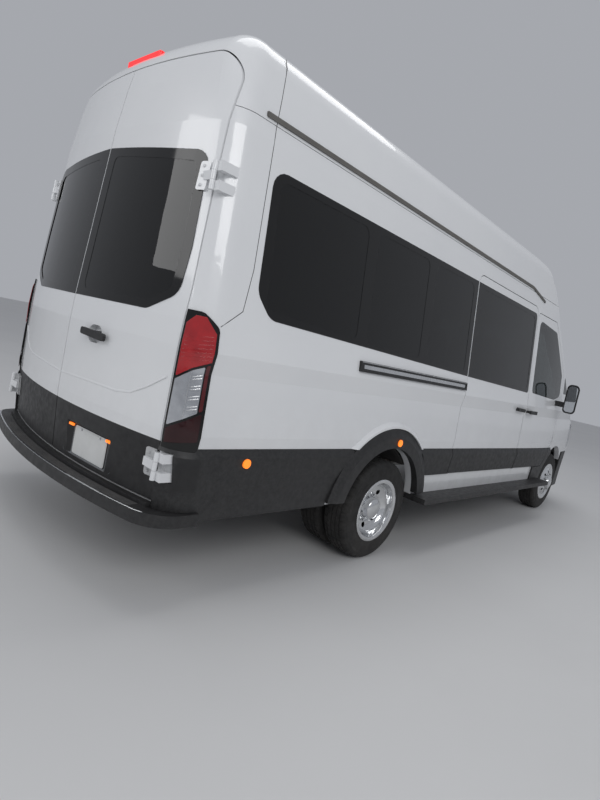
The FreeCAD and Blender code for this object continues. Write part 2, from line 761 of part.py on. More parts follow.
# Rail and handle of the side door
RAIL = ((-1963, 1279, 6), (-507 - GAP, 1279, 6), (-507 - GAP, 1343, 6), (-1963, 1343, 6))
RAIL_SLOT = ((-1930, 1297, 4), (-530, 1297, 4), (-530, 1325, 4), (-1930, 1325, 4))
SLIDE_HANDLE = ((668, 1172, 12), (848, 1166, 12), (848, 1200, 12), (668, 1206, 12))
rail = skin_layer(CLEAR, size("rail_proud")).common(prism_y(RAIL, -BEYOND, -600))
rail_slot = skin_layer(size("trim_proud"), size("handle_proud")).common(prism_y(RAIL_SLOT, -BEYOND, -600))
rail = rail.cut(rail_slot)
slide_handle = skin_layer(CLEAR, size("handle_proud")).common(prism_y(SLIDE_HANDLE, -BEYOND, -600))
panel("sliding_door_trim", Part.makeCompound([solids_over(rail, 1000), solids_over(slide_handle, 1000)]))

# Moulding over the joint of roof and side. Its front end falls towards the windscreen.
MOULDING = (
    (-2917, 2374, 6),
    (700, 2374, 400),
    (1060, 2305, 6),
    (1064, 2329, 6),
    (705, 2400, 400),
    (-2917, 2400, 6),
)
moulding = solids_over(skin_layer(CLEAR, size("trim_proud")).common(prism_y(MOULDING, -BEYOND, -600)), 1000)
panel("gutter_strips", Part.makeCompound([moulding, mirrored(moulding)]))

# Amber side lamps on the cladding and on the flares
AMBER_RADIUS = 24
AMBER_PROUD = 8


def amber_lens(along, level, reach):
    return Part.makeCylinder(AMBER_RADIUS, 60, Vector(along, 60 - reach, level), Vector(0, -1, 0))


clad_lens = amber_lens(-2731, 722, 1044 + AMBER_PROUD).cut(
    belt_form([(height, proud + CLEAR) for height, proud in CLAD_LEVELS]))
flare_face = size("flare_reach") + CLEAR
flare_lens = amber_lens(-1373, 841, flare_face + AMBER_PROUD).cut(
    box((-BEYOND, BEYOND), (-flare_face, 0), (0, ROOF)))
ambers = [solids_over(lens, 1000) for lens in (clad_lens, flare_lens)]
panel("marker_lamps", Part.makeCompound(ambers + [mirrored(lens) for lens in ambers]))

# The high stop lamp stands out of the roof's rounded end
STOP_LAMP = ((-3129, -175, 10), (-3000, -175, 0), (-3000, 175, 0), (-3129, 175, 10))
panel("high_stop_lamp", solids_over(prism_z(STOP_LAMP, 2688, 2714).cut(round_body), 1000))


# Simple solids, bound to the sheet

def bind(obj, prop, formula):
    obj.setExpression(prop, tied(formula))


def block(name, x, y, z):
    """A box. Each span is a pair of formulas, low and high."""
    obj = doc.addObject("Part::Box", name)
    for prop, axis, span in (("Length", "x", x), ("Width", "y", y), ("Height", "z", z)):
        bind(obj, prop, "(%s) - (%s)" % (span[1], span[0]))
        bind(obj, "Placement.Base." + axis, span[0])
    return obj


TURNS = {
    "x": Rotation(Vector(0, 1, 0), 90),
    "y": Rotation(Vector(1, 0, 0), -90),
    "z": Rotation(),
}


def rod(name, radius, length, at, axis):
    """A round bar from a point along +X, +Y or +Z."""
    obj = doc.addObject("Part::Cylinder", name)
    obj.Placement = Placement(Vector(), TURNS[axis])
    bind(obj, "Radius", radius)
    bind(obj, "Height", length)
    for letter, formula in zip("xyz", at):
        bind(obj, "Placement.Base." + letter, formula)
    return obj


def joined(name, parts):
    obj = doc.addObject("Part::MultiFuse", name)
    obj.Shapes = parts
    return obj


def cut(name, base, tool):
    obj = doc.addObject("Part::Cut", name)
    obj.Base = base
    obj.Tool = tool
    return obj


def grouped(name, parts):
    """Like solids that don't touch, in one node."""
    obj = doc.addObject("Part::Compound", name)
    obj.Links = parts
    return obj


def lathe(name, profile, at):
    """A body turned about its own Y axis. Profile is (radius, along), as formulas."""
    body = doc.addObject("PartDesign::Body", name)
    plane = [item for item in body.Origin.OriginFeatures if item.Role == "XY_Plane"][0]
    sketch = body.newObject("Sketcher::SketchObject", name + "_profile")
    sketch.AttachmentSupport = [(plane, "")]
    sketch.MapMode = "FlatFace"
    count = len(profile)
    for index in range(count):
        angle = 2 * math.pi * index / count
        following = 2 * math.pi * (index + 1) / count
        start = Vector(300 + 100 * math.cos(angle), 100 * math.sin(angle), 0)
        end = Vector(300 + 100 * math.cos(following), 100 * math.sin(following), 0)
        sketch.addGeometry(Part.LineSegment(start, end), False)
    for index in range(count):
        sketch.addConstraint(Sketcher.Constraint("Coincident", index, 2, (index + 1) % count, 1))
    for index, (radius, along) in enumerate(profile):
        for kind, formula in (("DistanceX", radius), ("DistanceY", along)):
            number = sketch.addConstraint(Sketcher.Constraint(kind, -1, 1, index, 1, 50.0))
            bind(sketch, "Constraints[%d]" % number, formula)
    turned = body.newObject("PartDesign::Revolution", name + "_turned")
    turned.Profile = sketch
    turned.ReferenceAxis = (sketch, ["V_Axis"])
    turned.Angle = 360
    for letter, formula in zip("xyz", at):
        bind(body, "Placement.Base." + letter, formula)
    return body


# Wheels
TYRE_PROFILE = (
    ("rim_radius", "-tyre_width / 2 + 8"),
    ("rim_radius + 45", "-tyre_width / 2 + 0.5"),
    ("tyre_radius - 60", "-tyre_width / 2"),
    ("tyre_radius - 18", "-tyre_width / 2 + 8"),
    ("tyre_radius - 5", "-tyre_width / 2 + 20"),
    ("tyre_radius", "-tyre_width / 2 + 40"),
    ("tyre_radius", "tyre_width / 2 - 40"),
    ("tyre_radius - 5", "tyre_width / 2 - 20"),
    ("tyre_radius - 18", "tyre_width / 2 - 8"),
    ("tyre_radius - 60", "tyre_width / 2"),
    ("rim_radius + 45", "tyre_width / 2 - 0.5"),
    ("rim_radius", "tyre_width / 2 - 8"),
)
BORE = "spindle_radius + bearing_clearance"
FRONT_RIM = (
    (BORE, "-10"),
    ("70", "-10"),
    ("80", "18"),
    ("165", "40"),
    ("rim_radius - 12", "44"),
    ("rim_radius - 12", "-tyre_width / 2 + 2"),
    ("rim_radius + 14", "-tyre_width / 2 - 1"),
    ("rim_radius + 14", "-tyre_width / 2 + 4"),
    ("rim_radius - seat_gap", "-tyre_width / 2 + 8"),
    ("rim_radius - seat_gap", "tyre_width / 2 - 8"),
    ("rim_radius + 14", "tyre_width / 2 - 4"),
    ("rim_radius + 14", "tyre_width / 2 + 1"),
    ("rim_radius - 12", "tyre_width / 2 - 2"),
    ("165", "52"),
    ("78", "66"),
    ("58", "105"),
    (BORE, "105"),
)
TWIN_OUT = "twin_spacing / 2 + tyre_width / 2"
TWIN_IN = "twin_spacing / 2 - tyre_width / 2"
TWIN_RIM = (
    (BORE, "-60"),
    ("80", "-60"),
    ("80", "-10"),
    ("175", "-10"),
    ("rim_radius - 12", "-30"),
    ("rim_radius - 12", "-(%s) + 2" % TWIN_OUT),
    ("rim_radius + 14", "-(%s) - 1" % TWIN_OUT),
    ("rim_radius + 14", "-(%s) + 4" % TWIN_OUT),
    ("rim_radius - seat_gap", "-(%s) + 8" % TWIN_OUT),
    ("rim_radius - seat_gap", "(%s) - 8" % TWIN_OUT),
    ("rim_radius + 14", "(%s) - 4" % TWIN_OUT),
    ("rim_radius + 14", "(%s) + 1" % TWIN_OUT),
    ("rim_radius - 12", "(%s) - 2" % TWIN_OUT),
    ("rim_radius - 12", "30"),
    ("175", "10"),
    ("88", "10"),
    ("78", "92"),
    (BORE, "92"),
)


def reversed_along(profile):
    """The same turned piece facing the other way."""
    return tuple((radius, "-(%s)" % along) for radius, along in reversed(profile))


HAND_HOLES = 8


def holed_rim(name, profile, at, hole_radius, circle_radius):
    """A rim with a ring of round hand holes through its disc."""
    rim = lathe(name + "_blank", profile, at)
    ring = doc.addObject("Part::Compound", name + "_drills")
    drills = []
    for index in range(HAND_HOLES):
        angle = 360.0 / HAND_HOLES * index
        drills.append(rod(name + "_drill%d" % index, hole_radius, "400", (
            "%s + %s * cos(%g)" % (at[0], circle_radius, angle), at[1] + " - 200",
            "%s + %s * sin(%g)" % (at[2], circle_radius, angle)), "y"))
    ring.Links = drills
    return cut(name, rim, ring)


for side, sign in (("left", ""), ("right", "-")):
    front_at = (FRONT_AXLE_F, sign + "front_track_half", "tyre_radius")
    rear_at = (REAR_AXLE_F, sign + "twin_track_half", "tyre_radius")
    facing = (lambda profile: profile) if side == "left" else reversed_along
    piece(lathe("front_tyre_" + side, TYRE_PROFILE, front_at), "front_tyre_" + side)
    piece(holed_rim("front_rim_" + side, facing(FRONT_RIM), front_at, "18", "125"), "front_rim_" + side)
    twins = []
    for place, step in (("inner", "-"), ("outer", "+")):
        shift = "%s(twin_track_half %s twin_spacing / 2)" % (sign, step)
        twins.append(lathe("rear_tyre_%s_%s" % (side, place), TYRE_PROFILE,
                           (REAR_AXLE_F, shift, "tyre_radius")))
    piece(grouped("rear_tyres_" + side, twins), "rear_tyres_" + side)
    piece(holed_rim("rear_rims_" + side, facing(TWIN_RIM), rear_at, "24", "135"), "rear_rims_" + side)

# Black flares round the rear arches
FLARE = (
    ("arch_radius - 2", "980"),
    ("arch_radius + 4", "980"),
    ("arch_radius + 10", "flare_reach - 16"),
    ("arch_radius + flare_width * 0.55", "flare_reach - 16"),
    ("arch_radius + flare_width", "1020"),
    ("arch_radius + flare_width", "1040"),
    ("arch_radius + flare_width * 0.55", "flare_reach"),
    ("arch_radius - 2", "flare_reach"),
)
flares = []
for side in ("left", "right"):
    profile = FLARE if side == "left" else reversed_along(FLARE)
    ring = lathe("flare_ring_" + side, profile, (REAR_AXLE_F, "0", "tyre_radius"))
    below = block("flare_below_" + side, (REAR_AXLE_F + " - 900", REAR_AXLE_F + " + 900"), ("-1300", "1300"),
                  ("-400", "sill_bottom + 20"))
    flares.append(cut("flare_" + side, ring, below))
doc.recompute()
flare_shapes = [flare.Shape.cut(outer) for flare in flares]
panel("arch_flares", Part.makeCompound([solids_over(shape, 1000) for shape in flare_shapes]))

# Floor with its wheel housings
TUB_INNER_FRONT = "560"
TUB_INNER_REAR = "590"
FLOOR_HALF = "940"
FLOOR_UNDER = "floor_top - floor_thick"
plate = block("floor_plate", ("-3150", "2100"), ("-" + FLOOR_HALF, FLOOR_HALF), (FLOOR_UNDER, "floor_top"))
bulkhead = block("bulkhead", ("2100 + seat_gap", "2130"), ("-" + TUB_INNER_FRONT, TUB_INNER_FRONT),
                 (FLOOR_UNDER, "1180"))
housings = []
wells = []
WELLS = (("front", FRONT_AXLE_F, TUB_INNER_FRONT), ("rear", REAR_AXLE_F, TUB_INNER_REAR))
for end, axle, inner_wall in WELLS:
    for side, start in (("left", inner_wall), ("right", "-" + FLOOR_HALF)):
        depth = "%s - %s" % (FLOOR_HALF, inner_wall)
        housings.append(rod("housing_%s_%s" % (end, side), "arch_radius + 8", depth,
                            (axle, start, "tyre_radius"), "y"))
        well_start = inner_wall + " + 8" if side == "left" else "-" + FLOOR_HALF + " - 100"
        wells.append(rod("well_%s_%s" % (end, side), "arch_radius", depth + " + 92",
                         (axle, well_start, "tyre_radius"), "y"))
below_floor = block("below_floor", ("-3200", "3200"), ("-1200", "1200"), ("-300", "floor_top + seat_gap"))
all_wells = joined("wheel_wells", wells)
plate_cut = cut("floor_plate_cut", plate, all_wells)
bulkhead_cut = cut("bulkhead_cut", bulkhead, all_wells)
housings_cut = cut("housings_cut", joined("housing_blanks", housings),
                   joined("housing_tools", wells + [below_floor]))
doc.recompute()
standing = housings_cut.Shape.cut(box((2095, 2135), (-600, 600), (0, 1300)))
floor_pieces = [shape.common(room) for shape in (plate_cut.Shape, bulkhead_cut.Shape, standing)]
panel("floor_pan", Part.makeCompound([solid for shape in floor_pieces for solid in shape.Solids]))

# Chassis rails and the cross members between them
rails = []
for side, low in (("left", "rail_half - rail_width / 2"), ("right", "-rail_half - rail_width / 2")):
    rails.append(block("rail_" + side, ("-3100", "2950"), (low, low + " + rail_width"),
                       ("rail_bottom", "floor_top - floor_thick - seat_gap")))
BETWEEN_RAILS = "(rail_half - rail_width / 2 - seat_gap)"
for index, along in enumerate(("-3100", "-2200", "-700", "600", "1500", "2870")):
    rails.append(block("cross_member%d" % index, (along, along + " + 80"), ("-" + BETWEEN_RAILS, BETWEEN_RAILS),
                       ("rail_bottom + 20", "rail_bottom + 90")))
tow_parts = [
    rails.pop(),
    rod("tow_boss", "tow_socket_radius * 2.4", "tow_socket_front - 2900",
        ("2900", "-tow_socket_side", "tow_socket_level"), "x"),
    block("tow_bracket", ("2880", "2940"), ("-tow_socket_side - 30", "-tow_socket_side + 30"),
          ("tow_socket_level - 20", "rail_bottom + 40")),
]
socket = rod("tow_socket", "tow_socket_radius", "tow_socket_depth + 10",
             ("tow_socket_front - tow_socket_depth", "-tow_socket_side", "tow_socket_level"), "x")
rails.append(cut("tow_member", joined("tow_blank", tow_parts), socket))
piece(grouped("chassis_frame", rails), "chassis_frame")

# Rear axle with its springs
axle_parts = [
    rod("axle_tube", "axle_radius", "2 * (twin_track_half - 70)",
        (REAR_AXLE_F, "-(twin_track_half - 70)", "tyre_radius"), "y"),
    rod("final_drive", "150", "190", (REAR_AXLE_F, "-95", "tyre_radius"), "y"),
    rod("rear_spindle", "spindle_radius", "2 * (twin_track_half + 85)",
        (REAR_AXLE_F, "-(twin_track_half + 85)", "tyre_radius"), "y"),
]
for side, low in (("left", "spring_half - spring_width / 2"), ("right", "-spring_half - spring_width / 2")):
    span = (low, low + " + spring_width")
    axle_parts.append(block("spring_pad_" + side, (REAR_AXLE_F + " - 60", REAR_AXLE_F + " + 60"), span,
                            ("tyre_radius", "tyre_radius + 75")))
    axle_parts.append(block("spring_mid_" + side, (REAR_AXLE_F + " - 350", REAR_AXLE_F + " + 350"), span,
                            ("tyre_radius + 70", "tyre_radius + 94")))
    for end, way in (("rear", "-"), ("front", "+")):
        arm = block("spring_%s_%s" % (end, side), ("0", "400"), span, ("0", "20"))
        arm.Placement.Rotation = Rotation(Vector(0, 1, 0), -10 if end == "front" else -170)
        bind(arm, "Placement.Base.x", "%s %s 340" % (REAR_AXLE_F, way))
        bind(arm, "Placement.Base.z", "tyre_radius + 74" if end == "front" else "tyre_radius + 94")
        axle_parts.append(arm)
        reach = "%s %s 730" % (REAR_AXLE_F, way)
        axle_parts.append(block("shackle_%s_%s" % (end, side), (reach + " - 30", reach + " + 30"), span,
                                ("tyre_radius + 135", "floor_top - floor_thick - seat_gap")))
piece(joined("rear_axle", axle_parts), "rear_axle")

piece(joined("propeller_shaft", [
    rod("shaft_tube", "shaft_radius", "2490", (REAR_AXLE_F + " + 150", "0", "tyre_radius + 40"), "x"),
    rod("shaft_joint", "shaft_radius + 22", "60", (REAR_AXLE_F + " + 1300", "0", "tyre_radius + 40"), "x"),
]), "propeller_shaft")
piece(joined("engine_block", [
    block("engine_main", ("2150", "2850"), ("-270", "270"), ("380", "1000")),
    block("gearbox", (REAR_AXLE_F + " + 2650", "2200"), ("-150", "150"), ("300", "rail_bottom + 20 - seat_gap")),
]), "engine_block")
RAIL_OUTER = "rail_half + rail_width / 2"
piece(block("fuel_tank", ("-600", "1300"), (RAIL_OUTER + " + seat_gap", RAIL_OUTER + " + 380"), ("350", "600")),
      "fuel_tank")
exhaust_line = joined("exhaust_line", [
    rod("exhaust_pipe", "28", "3700", ("-2000", "-300", "440"), "x"),
    rod("silencer", "62", "800", ("750", "-300", "440"), "x"),
])
hangers = [
    block("exhaust_hanger%d" % index, (along, along + " + 20"), ("-310", "-290"),
          ("440 + 28 + seat_gap", "rail_bottom + 20 - seat_gap"))
    for index, along in enumerate(("-680", "630"))]
piece(grouped("exhaust_system", [exhaust_line] + hangers), "exhaust_system")

# Front suspension carrier: cross member, arms and struts
carrier = [block("front_cross_member", (FRONT_AXLE_F + " - 110", FRONT_AXLE_F + " + 110"), ("-430", "430"),
                 ("240", "330"))]
for side, sign in (("left", ""), ("right", "-")):
    def arm_block(name, half, near, far, levels):
        """A block about the front axle's line, on this side."""
        across = (near, far) if sign == "" else ("-(%s)" % far, "-(%s)" % near)
        along = ("%s - %s" % (FRONT_AXLE_F, half), "%s + %s" % (FRONT_AXLE_F, half))
        return block(name + side, along, across, levels)
    carrier.append(arm_block("lower_arm_", 32, "420", "kingpin_half + 30", ("240", "262")))
    carrier.append(arm_block("upper_yoke_", 28, "670", "kingpin_half + 25", ("470", "492")))
    carrier.append(rod("strut_" + side, "28", "tyre_radius + arch_radius - 1.3 - 470",
                       (FRONT_AXLE_F, sign + "690", "470"), "z"))
    carrier.append(arm_block("frame_leg_", 60, "rail_half - 30", "rail_half", ("320", "rail_bottom - seat_gap")))
    carrier.append(arm_block("strut_bracket_", 26, RAIL_OUTER + " + seat_gap", "690", ("560", "600")))
piece(joined("front_suspension", carrier), "front_suspension")
for side, sign in (("left", ""), ("right", "-")):
    spindle_start = "kingpin_half" if sign == "" else "-(front_track_half + 100)"
    piece(joined("knuckle_" + side, [
        rod("knuckle_post_" + side, "26", "470 - 262 - 2 * seat_gap",
            (FRONT_AXLE_F, sign + "kingpin_half", "262 + seat_gap"), "z"),
        rod("knuckle_spindle_" + side, "spindle_radius", "front_track_half + 100 - kingpin_half",
            (FRONT_AXLE_F, spindle_start, "tyre_radius"), "y"),
    ]), "knuckle_" + side)

# Steps and rear bumper
piece(block("running_board", ("board_rear", "board_front"), ("-board_reach", "-960"),
            ("sill_bottom - seat_gap - board_thick", "sill_bottom - seat_gap")), "running_board")
RISER_TOP = size("rear_door_bottom") - GAP - CLEAR
RISER_THICK = 14
RISER_HALF = 900
REBATE = 1


def tail_prism(half, tail, corner, low, high):
    """An upright block whose rim follows the tail's plan."""
    face = Part.Face(plan_section(low, half, tail, corner, 0))
    return face.extrude(Vector(0, 0, high - low)).common(box((-BEYOND, STEP_FRONT), (-BEYOND, BEYOND), (low, high)))


step = tail_prism(1045, NOSE, 200, STEP_TOP - size("step_thick"), STEP_TOP)
tail_row = SECTIONS[2]
riser = tail_prism(tail_row[1], tail_row[2] + RISER_THICK, tail_row[3], STEP_TOP - 20, RISER_TOP)
riser = riser.common(box((-BEYOND, -3000), (-RISER_HALF, RISER_HALF), (0, RISER_TOP)))
# Below the side cladding the step is a little lower, so that the flat tread ends clear of it
under_cladding = body_form(-size("handle_proud")).common(
    box((-BEYOND, STEP_FRONT), (-BEYOND, -RISER_HALF), (STEP_TOP - REBATE, STEP_TOP + RISER_THICK)))
step = step.cut(both(under_cladding)).fuse(riser)
panel("rear_step", solids_over(step.cut(round_body), SLIVER))

# Cab inside
DASH = (
    (2060, 960, 40),
    (2095, 960, 0),
    (2095, 1200, 0),
    (2520, 1235, 8),
    (2520, 1262, 8),
    (2120, 1290, 60),
    (1990, 1180, 60),
)
dash = prism_y(DASH, -880, 880)
wheel_ring = Part.makeTorus(190, 15, Vector(0, 0, 0), Vector(0, 0, 1))
wheel_ring = wheel_ring.fuse(Part.makeCylinder(45, 30, Vector(0, 0, -15)))
for angle in (90, 210, 330):
    spoke = Part.makeBox(160, 30, 14, Vector(30, -15, -7))
    spoke.rotate(Vector(), Vector(0, 0, 1), angle)
    wheel_ring = wheel_ring.fuse(spoke)
wheel_ring = wheel_ring.fuse(Part.makeCylinder(25, 330, Vector(0, 0, -330)))
wheel_ring.Placement = Placement(Vector(1790, 430, 1260), Rotation(Vector(0, 1, 0), -62))
panel("dashboard", dash.common(room).fuse(wheel_ring))

# Seats. Columns: hip point along, across.
SEAT_WIDTH = 430
CUSHION = ((0, 0, 20), (470, 0, 45), (470, 130, 45), (0, 110, 30))
BACKREST = ((-10, 112, 30), (80, 112, 30), (10, 700, 40), (-90, 700, 40))
HEADREST = ((-85, 700.3, 30), (0, 700.3, 30), (-15, 860, 35), (-100, 860, 35))
CAB_SEATS = ((1130, 430), (1130, -430))
ROWS = [(x, y) for x in (180, -640, -1460) for y in (650, 205, -640)]
ROWS += [(-2290, y) for y in (660, 220, -220, -660)]


def seat(along, across, base):
    """Cushion, back and head rest of one seat, as three solids."""
    solids = []
    for outline, width in ((CUSHION, SEAT_WIDTH), (BACKREST, SEAT_WIDTH), (HEADREST, 240)):
        solid = prism_y(outline, -width / 2, width / 2)
        solid.translate(Vector(along, across, base))
        solids.append(solid)
    return solids


SEAT_BASE = size("floor_top") + 330
for name, spots in (("cab_seats", CAB_SEATS), ("passenger_seats", ROWS)):
    panel(name, Part.makeCompound([solid for x, y in spots for solid in seat(x, y, SEAT_BASE)]))
stands = []
for index, (along, across) in enumerate(list(CAB_SEATS) + ROWS):
    inward = across - math.copysign(120, across)
    stands.append(box((along + 60, along + 400), (inward - 60, inward + 60),
                      (size("floor_top") + CLEAR, SEAT_BASE - CLEAR)))
panel("seat_stands", Part.makeCompound(stands))

# Mirrors and handles of the front doors
MIRROR = ((-1237, 1235, 40), (-1105, 1235, 40), (-1105, 1560, 50), (-1237, 1560, 50))
mirror_rear = rounded_wire(MIRROR, lambda p: Vector(1790, p.x, p.y))
mirror_front = rounded_wire(inset_corners(MIRROR, 28), lambda p: Vector(1905, p.x, p.y))
mirror = Part.makeLoft([mirror_rear, mirror_front], True, True)
mirror = mirror.fuse(box((1810, 1870), (-1110, -990), (1290, 1350)).cut(body_form(-CLEAR)))
handle = box((950, 1130), (-1075, -1060), (1160, 1195)).fuse(box((955, 985), (-1065, -1000), (1165, 1190)))
handle = handle.fuse(box((1095, 1125), (-1065, -1000), (1165, 1190))).cut(body_form(-CLEAR))
trim = Part.makeCompound([door_strip, solids_over(mirror, 1000), solids_over(handle, 1000)])
panel("front_door_trim_right", trim)
panel("front_door_trim_left", mirrored(trim))

doc.recompute()
for obj in doc.Objects:
    if "Invalid" in obj.State or "Error" in obj.State:
        raise RuntimeError("failed: " + obj.Label)
bad = [obj.Label for obj in pieces if obj.Shape.isNull() or not obj.Shape.isValid() or not obj.Shape.Solids]
if bad:
    raise RuntimeError("bad shapes: " + ", ".join(bad))
os.makedirs("parts", exist_ok=True)
for obj in pieces:
    obj.Shape.exportStep("parts/%s.step" % obj.Label)
    print(obj.Label, len(obj.Shape.Solids), "%.1f l" % (obj.Shape.Volume / 1e6))
print(len(pieces), "nodes")
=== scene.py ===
import bmesh
import bpy
import math
from mathutils import Matrix, Vector
from mathutils.bvhtree import BVHTree


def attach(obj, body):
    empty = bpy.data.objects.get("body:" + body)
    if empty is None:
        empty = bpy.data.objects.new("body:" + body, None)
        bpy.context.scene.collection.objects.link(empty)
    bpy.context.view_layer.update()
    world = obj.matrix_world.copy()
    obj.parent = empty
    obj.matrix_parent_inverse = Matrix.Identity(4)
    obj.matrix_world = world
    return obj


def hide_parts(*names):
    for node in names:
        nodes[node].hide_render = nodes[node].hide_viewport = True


# A high-roof passenger minibus with twin rear wheels, dressed around its CAD solids. Metres.
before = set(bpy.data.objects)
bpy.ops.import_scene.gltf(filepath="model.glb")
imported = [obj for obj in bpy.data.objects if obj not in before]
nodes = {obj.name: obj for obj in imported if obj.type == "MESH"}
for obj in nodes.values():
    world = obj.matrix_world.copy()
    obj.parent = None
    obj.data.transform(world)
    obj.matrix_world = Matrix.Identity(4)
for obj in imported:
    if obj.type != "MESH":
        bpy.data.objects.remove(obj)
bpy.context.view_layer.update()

AHEAD = Vector((1, 0, 0))
BEHIND = Vector((-1, 0, 0))
LEFTWARD = Vector((0, 1, 0))
RIGHTWARD = Vector((0, -1, 0))
UPRIGHT = Vector((0, 0, 1))
CORNERWARD = (BEHIND + RIGHTWARD).normalized()
# Name of each side, and whether its pieces are turned over the centre plane
SIDES = (("right", False), ("left", True))


# Shader nodes


def feed(tree, socket, value):
    """Sets a socket to a number or a colour, or links another socket to it."""
    if isinstance(value, tuple):
        socket.default_value = (*value, 1.0)
    elif isinstance(value, (int, float)):
        socket.default_value = value
    else:
        tree.links.new(value, socket)


def add_node(tree, kind, values, **settings):
    """A new shader node with its settings, its inputs fed."""
    node = tree.nodes.new("ShaderNode" + kind)
    for label, value in settings.items():
        setattr(node, label, value)
    for label, value in values.items():
        feed(tree, node.inputs[label], value)
    return node


def object_place(tree):
    return tree.nodes.new("ShaderNodeTexCoord").outputs["Object"]


def split_place(tree, place):
    return add_node(tree, "SeparateXYZ", {0: place}).outputs


def noise(tree, place, scale, detail, roughness):
    values = {"Vector": place, "Scale": scale, "Detail": detail, "Roughness": roughness}
    return add_node(tree, "TexNoise", values).outputs["Fac"]


def arithmetic(tree, operation, first, second=0.0, clamp=False):
    node = add_node(tree, "Math", {0: first, 1: second}, operation=operation, use_clamp=clamp)
    return node.outputs[0]


def ranged(tree, value, low, high, to_low=0.0, to_high=1.0):
    values = {"Value": value, "From Min": low, "From Max": high, "To Min": to_low, "To Max": to_high}
    return add_node(tree, "MapRange", values).outputs["Result"]


# Shared shader groups. Each puts out a colour or a height.


def new_group(name, inputs, outputs):
    """An empty shader group, and the inner sockets of its inputs and outputs."""
    group = bpy.data.node_groups.new(name, "ShaderNodeTree")
    for way, sockets in (("INPUT", inputs), ("OUTPUT", outputs)):
        for label, kind in sockets.items():
            group.interface.new_socket(label, in_out=way, socket_type="NodeSocket" + kind)
    return group, group.nodes.new("NodeGroupInput").outputs, group.nodes.new("NodeGroupOutput").inputs


def new_layer(name, **settings):
    """A group that lays the colour Over on the colour Base. It is closed by lay_over."""
    inputs = {"Base": "Color", "Over": "Color", "Amount": "Float", **settings}
    return new_group(name, inputs, {"Color": "Color"})


# Sockets of a Mix node that mixes colours
MIX_SHARE, MIX_FIRST, MIX_SECOND = 0, 6, 7
MIX_RESULT = 2


def lay_over(group, start, end, mask):
    share = arithmetic(group, "MULTIPLY", mask, start["Amount"], True)
    values = {MIX_SHARE: share, MIX_FIRST: start["Base"], MIX_SECOND: start["Over"]}
    mixed = add_node(group, "Mix", values, data_type="RGBA")
    group.links.new(mixed.outputs[MIX_RESULT], end["Color"])
    return group


def make_tone():
    """Slow colour change over a surface."""
    group, start, end = new_layer("tone", Scale="Float")
    wide = noise(group, object_place(group), start["Scale"], 5.0, 0.55)
    return lay_over(group, start, end, ranged(group, wide, 0.35, 0.7))


def make_dust():
    """Road dust that thins out up to the level Top."""
    group, start, end = new_layer("dust", Top="Float")
    place = object_place(group)
    level = arithmetic(group, "DIVIDE", split_place(group, place)["Z"], start["Top"])
    low = arithmetic(group, "SUBTRACT", 1.0, level, True)
    speckle = ranged(group, noise(group, place, 9.0, 8.0, 0.7), 0.3, 0.75)
    return lay_over(group, start, end, arithmetic(group, "MULTIPLY", low, speckle))


def make_wear():
    """Rubbed edges."""
    group, start, end = new_layer("edge_wear")
    pointiness = group.nodes.new("ShaderNodeNewGeometry").outputs["Pointiness"]
    edge = ranged(group, pointiness, 0.505, 0.56)
    broken = ranged(group, noise(group, object_place(group), 60.0, 6.0, 0.7), 0.35, 0.65)
    return lay_over(group, start, end, arithmetic(group, "MULTIPLY", edge, broken))


def make_grain():
    """Fine surface texture."""
    group, start, end = new_group("grain", {"Scale": "Float"}, {"Height": "Float"})
    group.links.new(noise(group, object_place(group), start["Scale"], 3.0, 0.6), end["Height"])
    return group


def make_weave():
    """Woven cloth: two sets of threads that cross."""
    group, start, end = new_group("weave", {"Threads": "Float"}, {"Height": "Float"})
    place = split_place(group, object_place(group))
    waves = []
    for across in ("X", "Y"):
        slant = arithmetic(group, "ADD", place[across], place["Z"])
        waves.append(arithmetic(group, "SINE", arithmetic(group, "MULTIPLY", slant, start["Threads"])))
    group.links.new(arithmetic(group, "MULTIPLY", *waves), end["Height"])
    return group


TONE = make_tone()
DUST = make_dust()
WEAR = make_wear()
GRAIN = make_grain()
WEAVE = make_weave()
ROAD_DUST = (0.23, 0.21, 0.19)
GLASS_IOR = 1.5


class Finish:
    """One procedural material. Its steps lie one over the other on the base colour."""

    def __init__(self, name, colour, roughness, metallic=0.0):
        self.material = bpy.data.materials.new(name)
        self.material.use_nodes = True
        self.tree = self.material.node_tree
        self.colour = colour
        self.put({"Roughness": roughness, "Metallic": metallic})

    def put(self, values):
        for label, value in values.items():
            feed(self.tree, self.tree.nodes["Principled BSDF"].inputs[label], value)
        return self

    def lay(self, group, over, amount, **values):
        values = {"Base": self.colour, "Over": over, "Amount": amount, **values}
        self.colour = add_node(self.tree, "Group", values, node_tree=group).outputs["Color"]
        return self.put({"Base Color": self.colour})

    def tone(self, second, scale, amount):
        return self.lay(TONE, second, amount, Scale=scale)

    def dust(self, top, amount):
        return self.lay(DUST, ROAD_DUST, amount, Top=top)

    def wear(self, worn, amount):
        return self.lay(WEAR, worn, amount)

    def height_of(self, group, values):
        return add_node(self.tree, "Group", values, node_tree=group).outputs["Height"]

    def uneven(self, scale, low, high):
        """Roughness that changes over the surface."""
        height = self.height_of(GRAIN, {"Scale": scale})
        return self.put({"Roughness": ranged(self.tree, height, 0.3, 0.7, low, high)})

    def bumped(self, group, distance, strength, **values):
        values = {"Strength": strength, "Distance": distance, "Height": self.height_of(group, values)}
        return self.put({"Normal": add_node(self.tree, "Bump", values).outputs["Normal"]})

    def coat(self, weight, roughness):
        return self.put({"Coat Weight": weight, "Coat Roughness": roughness})

    def glassy(self):
        return self.put({"Transmission Weight": 1.0, "IOR": GLASS_IOR})

    def glow(self, colour, strength):
        return self.put({"Emission Color": colour, "Emission Strength": strength})


def pane_finish(name, colour, second):
    return Finish(name, colour, 0.0).glassy().tone(second, 3.0, 0.6)


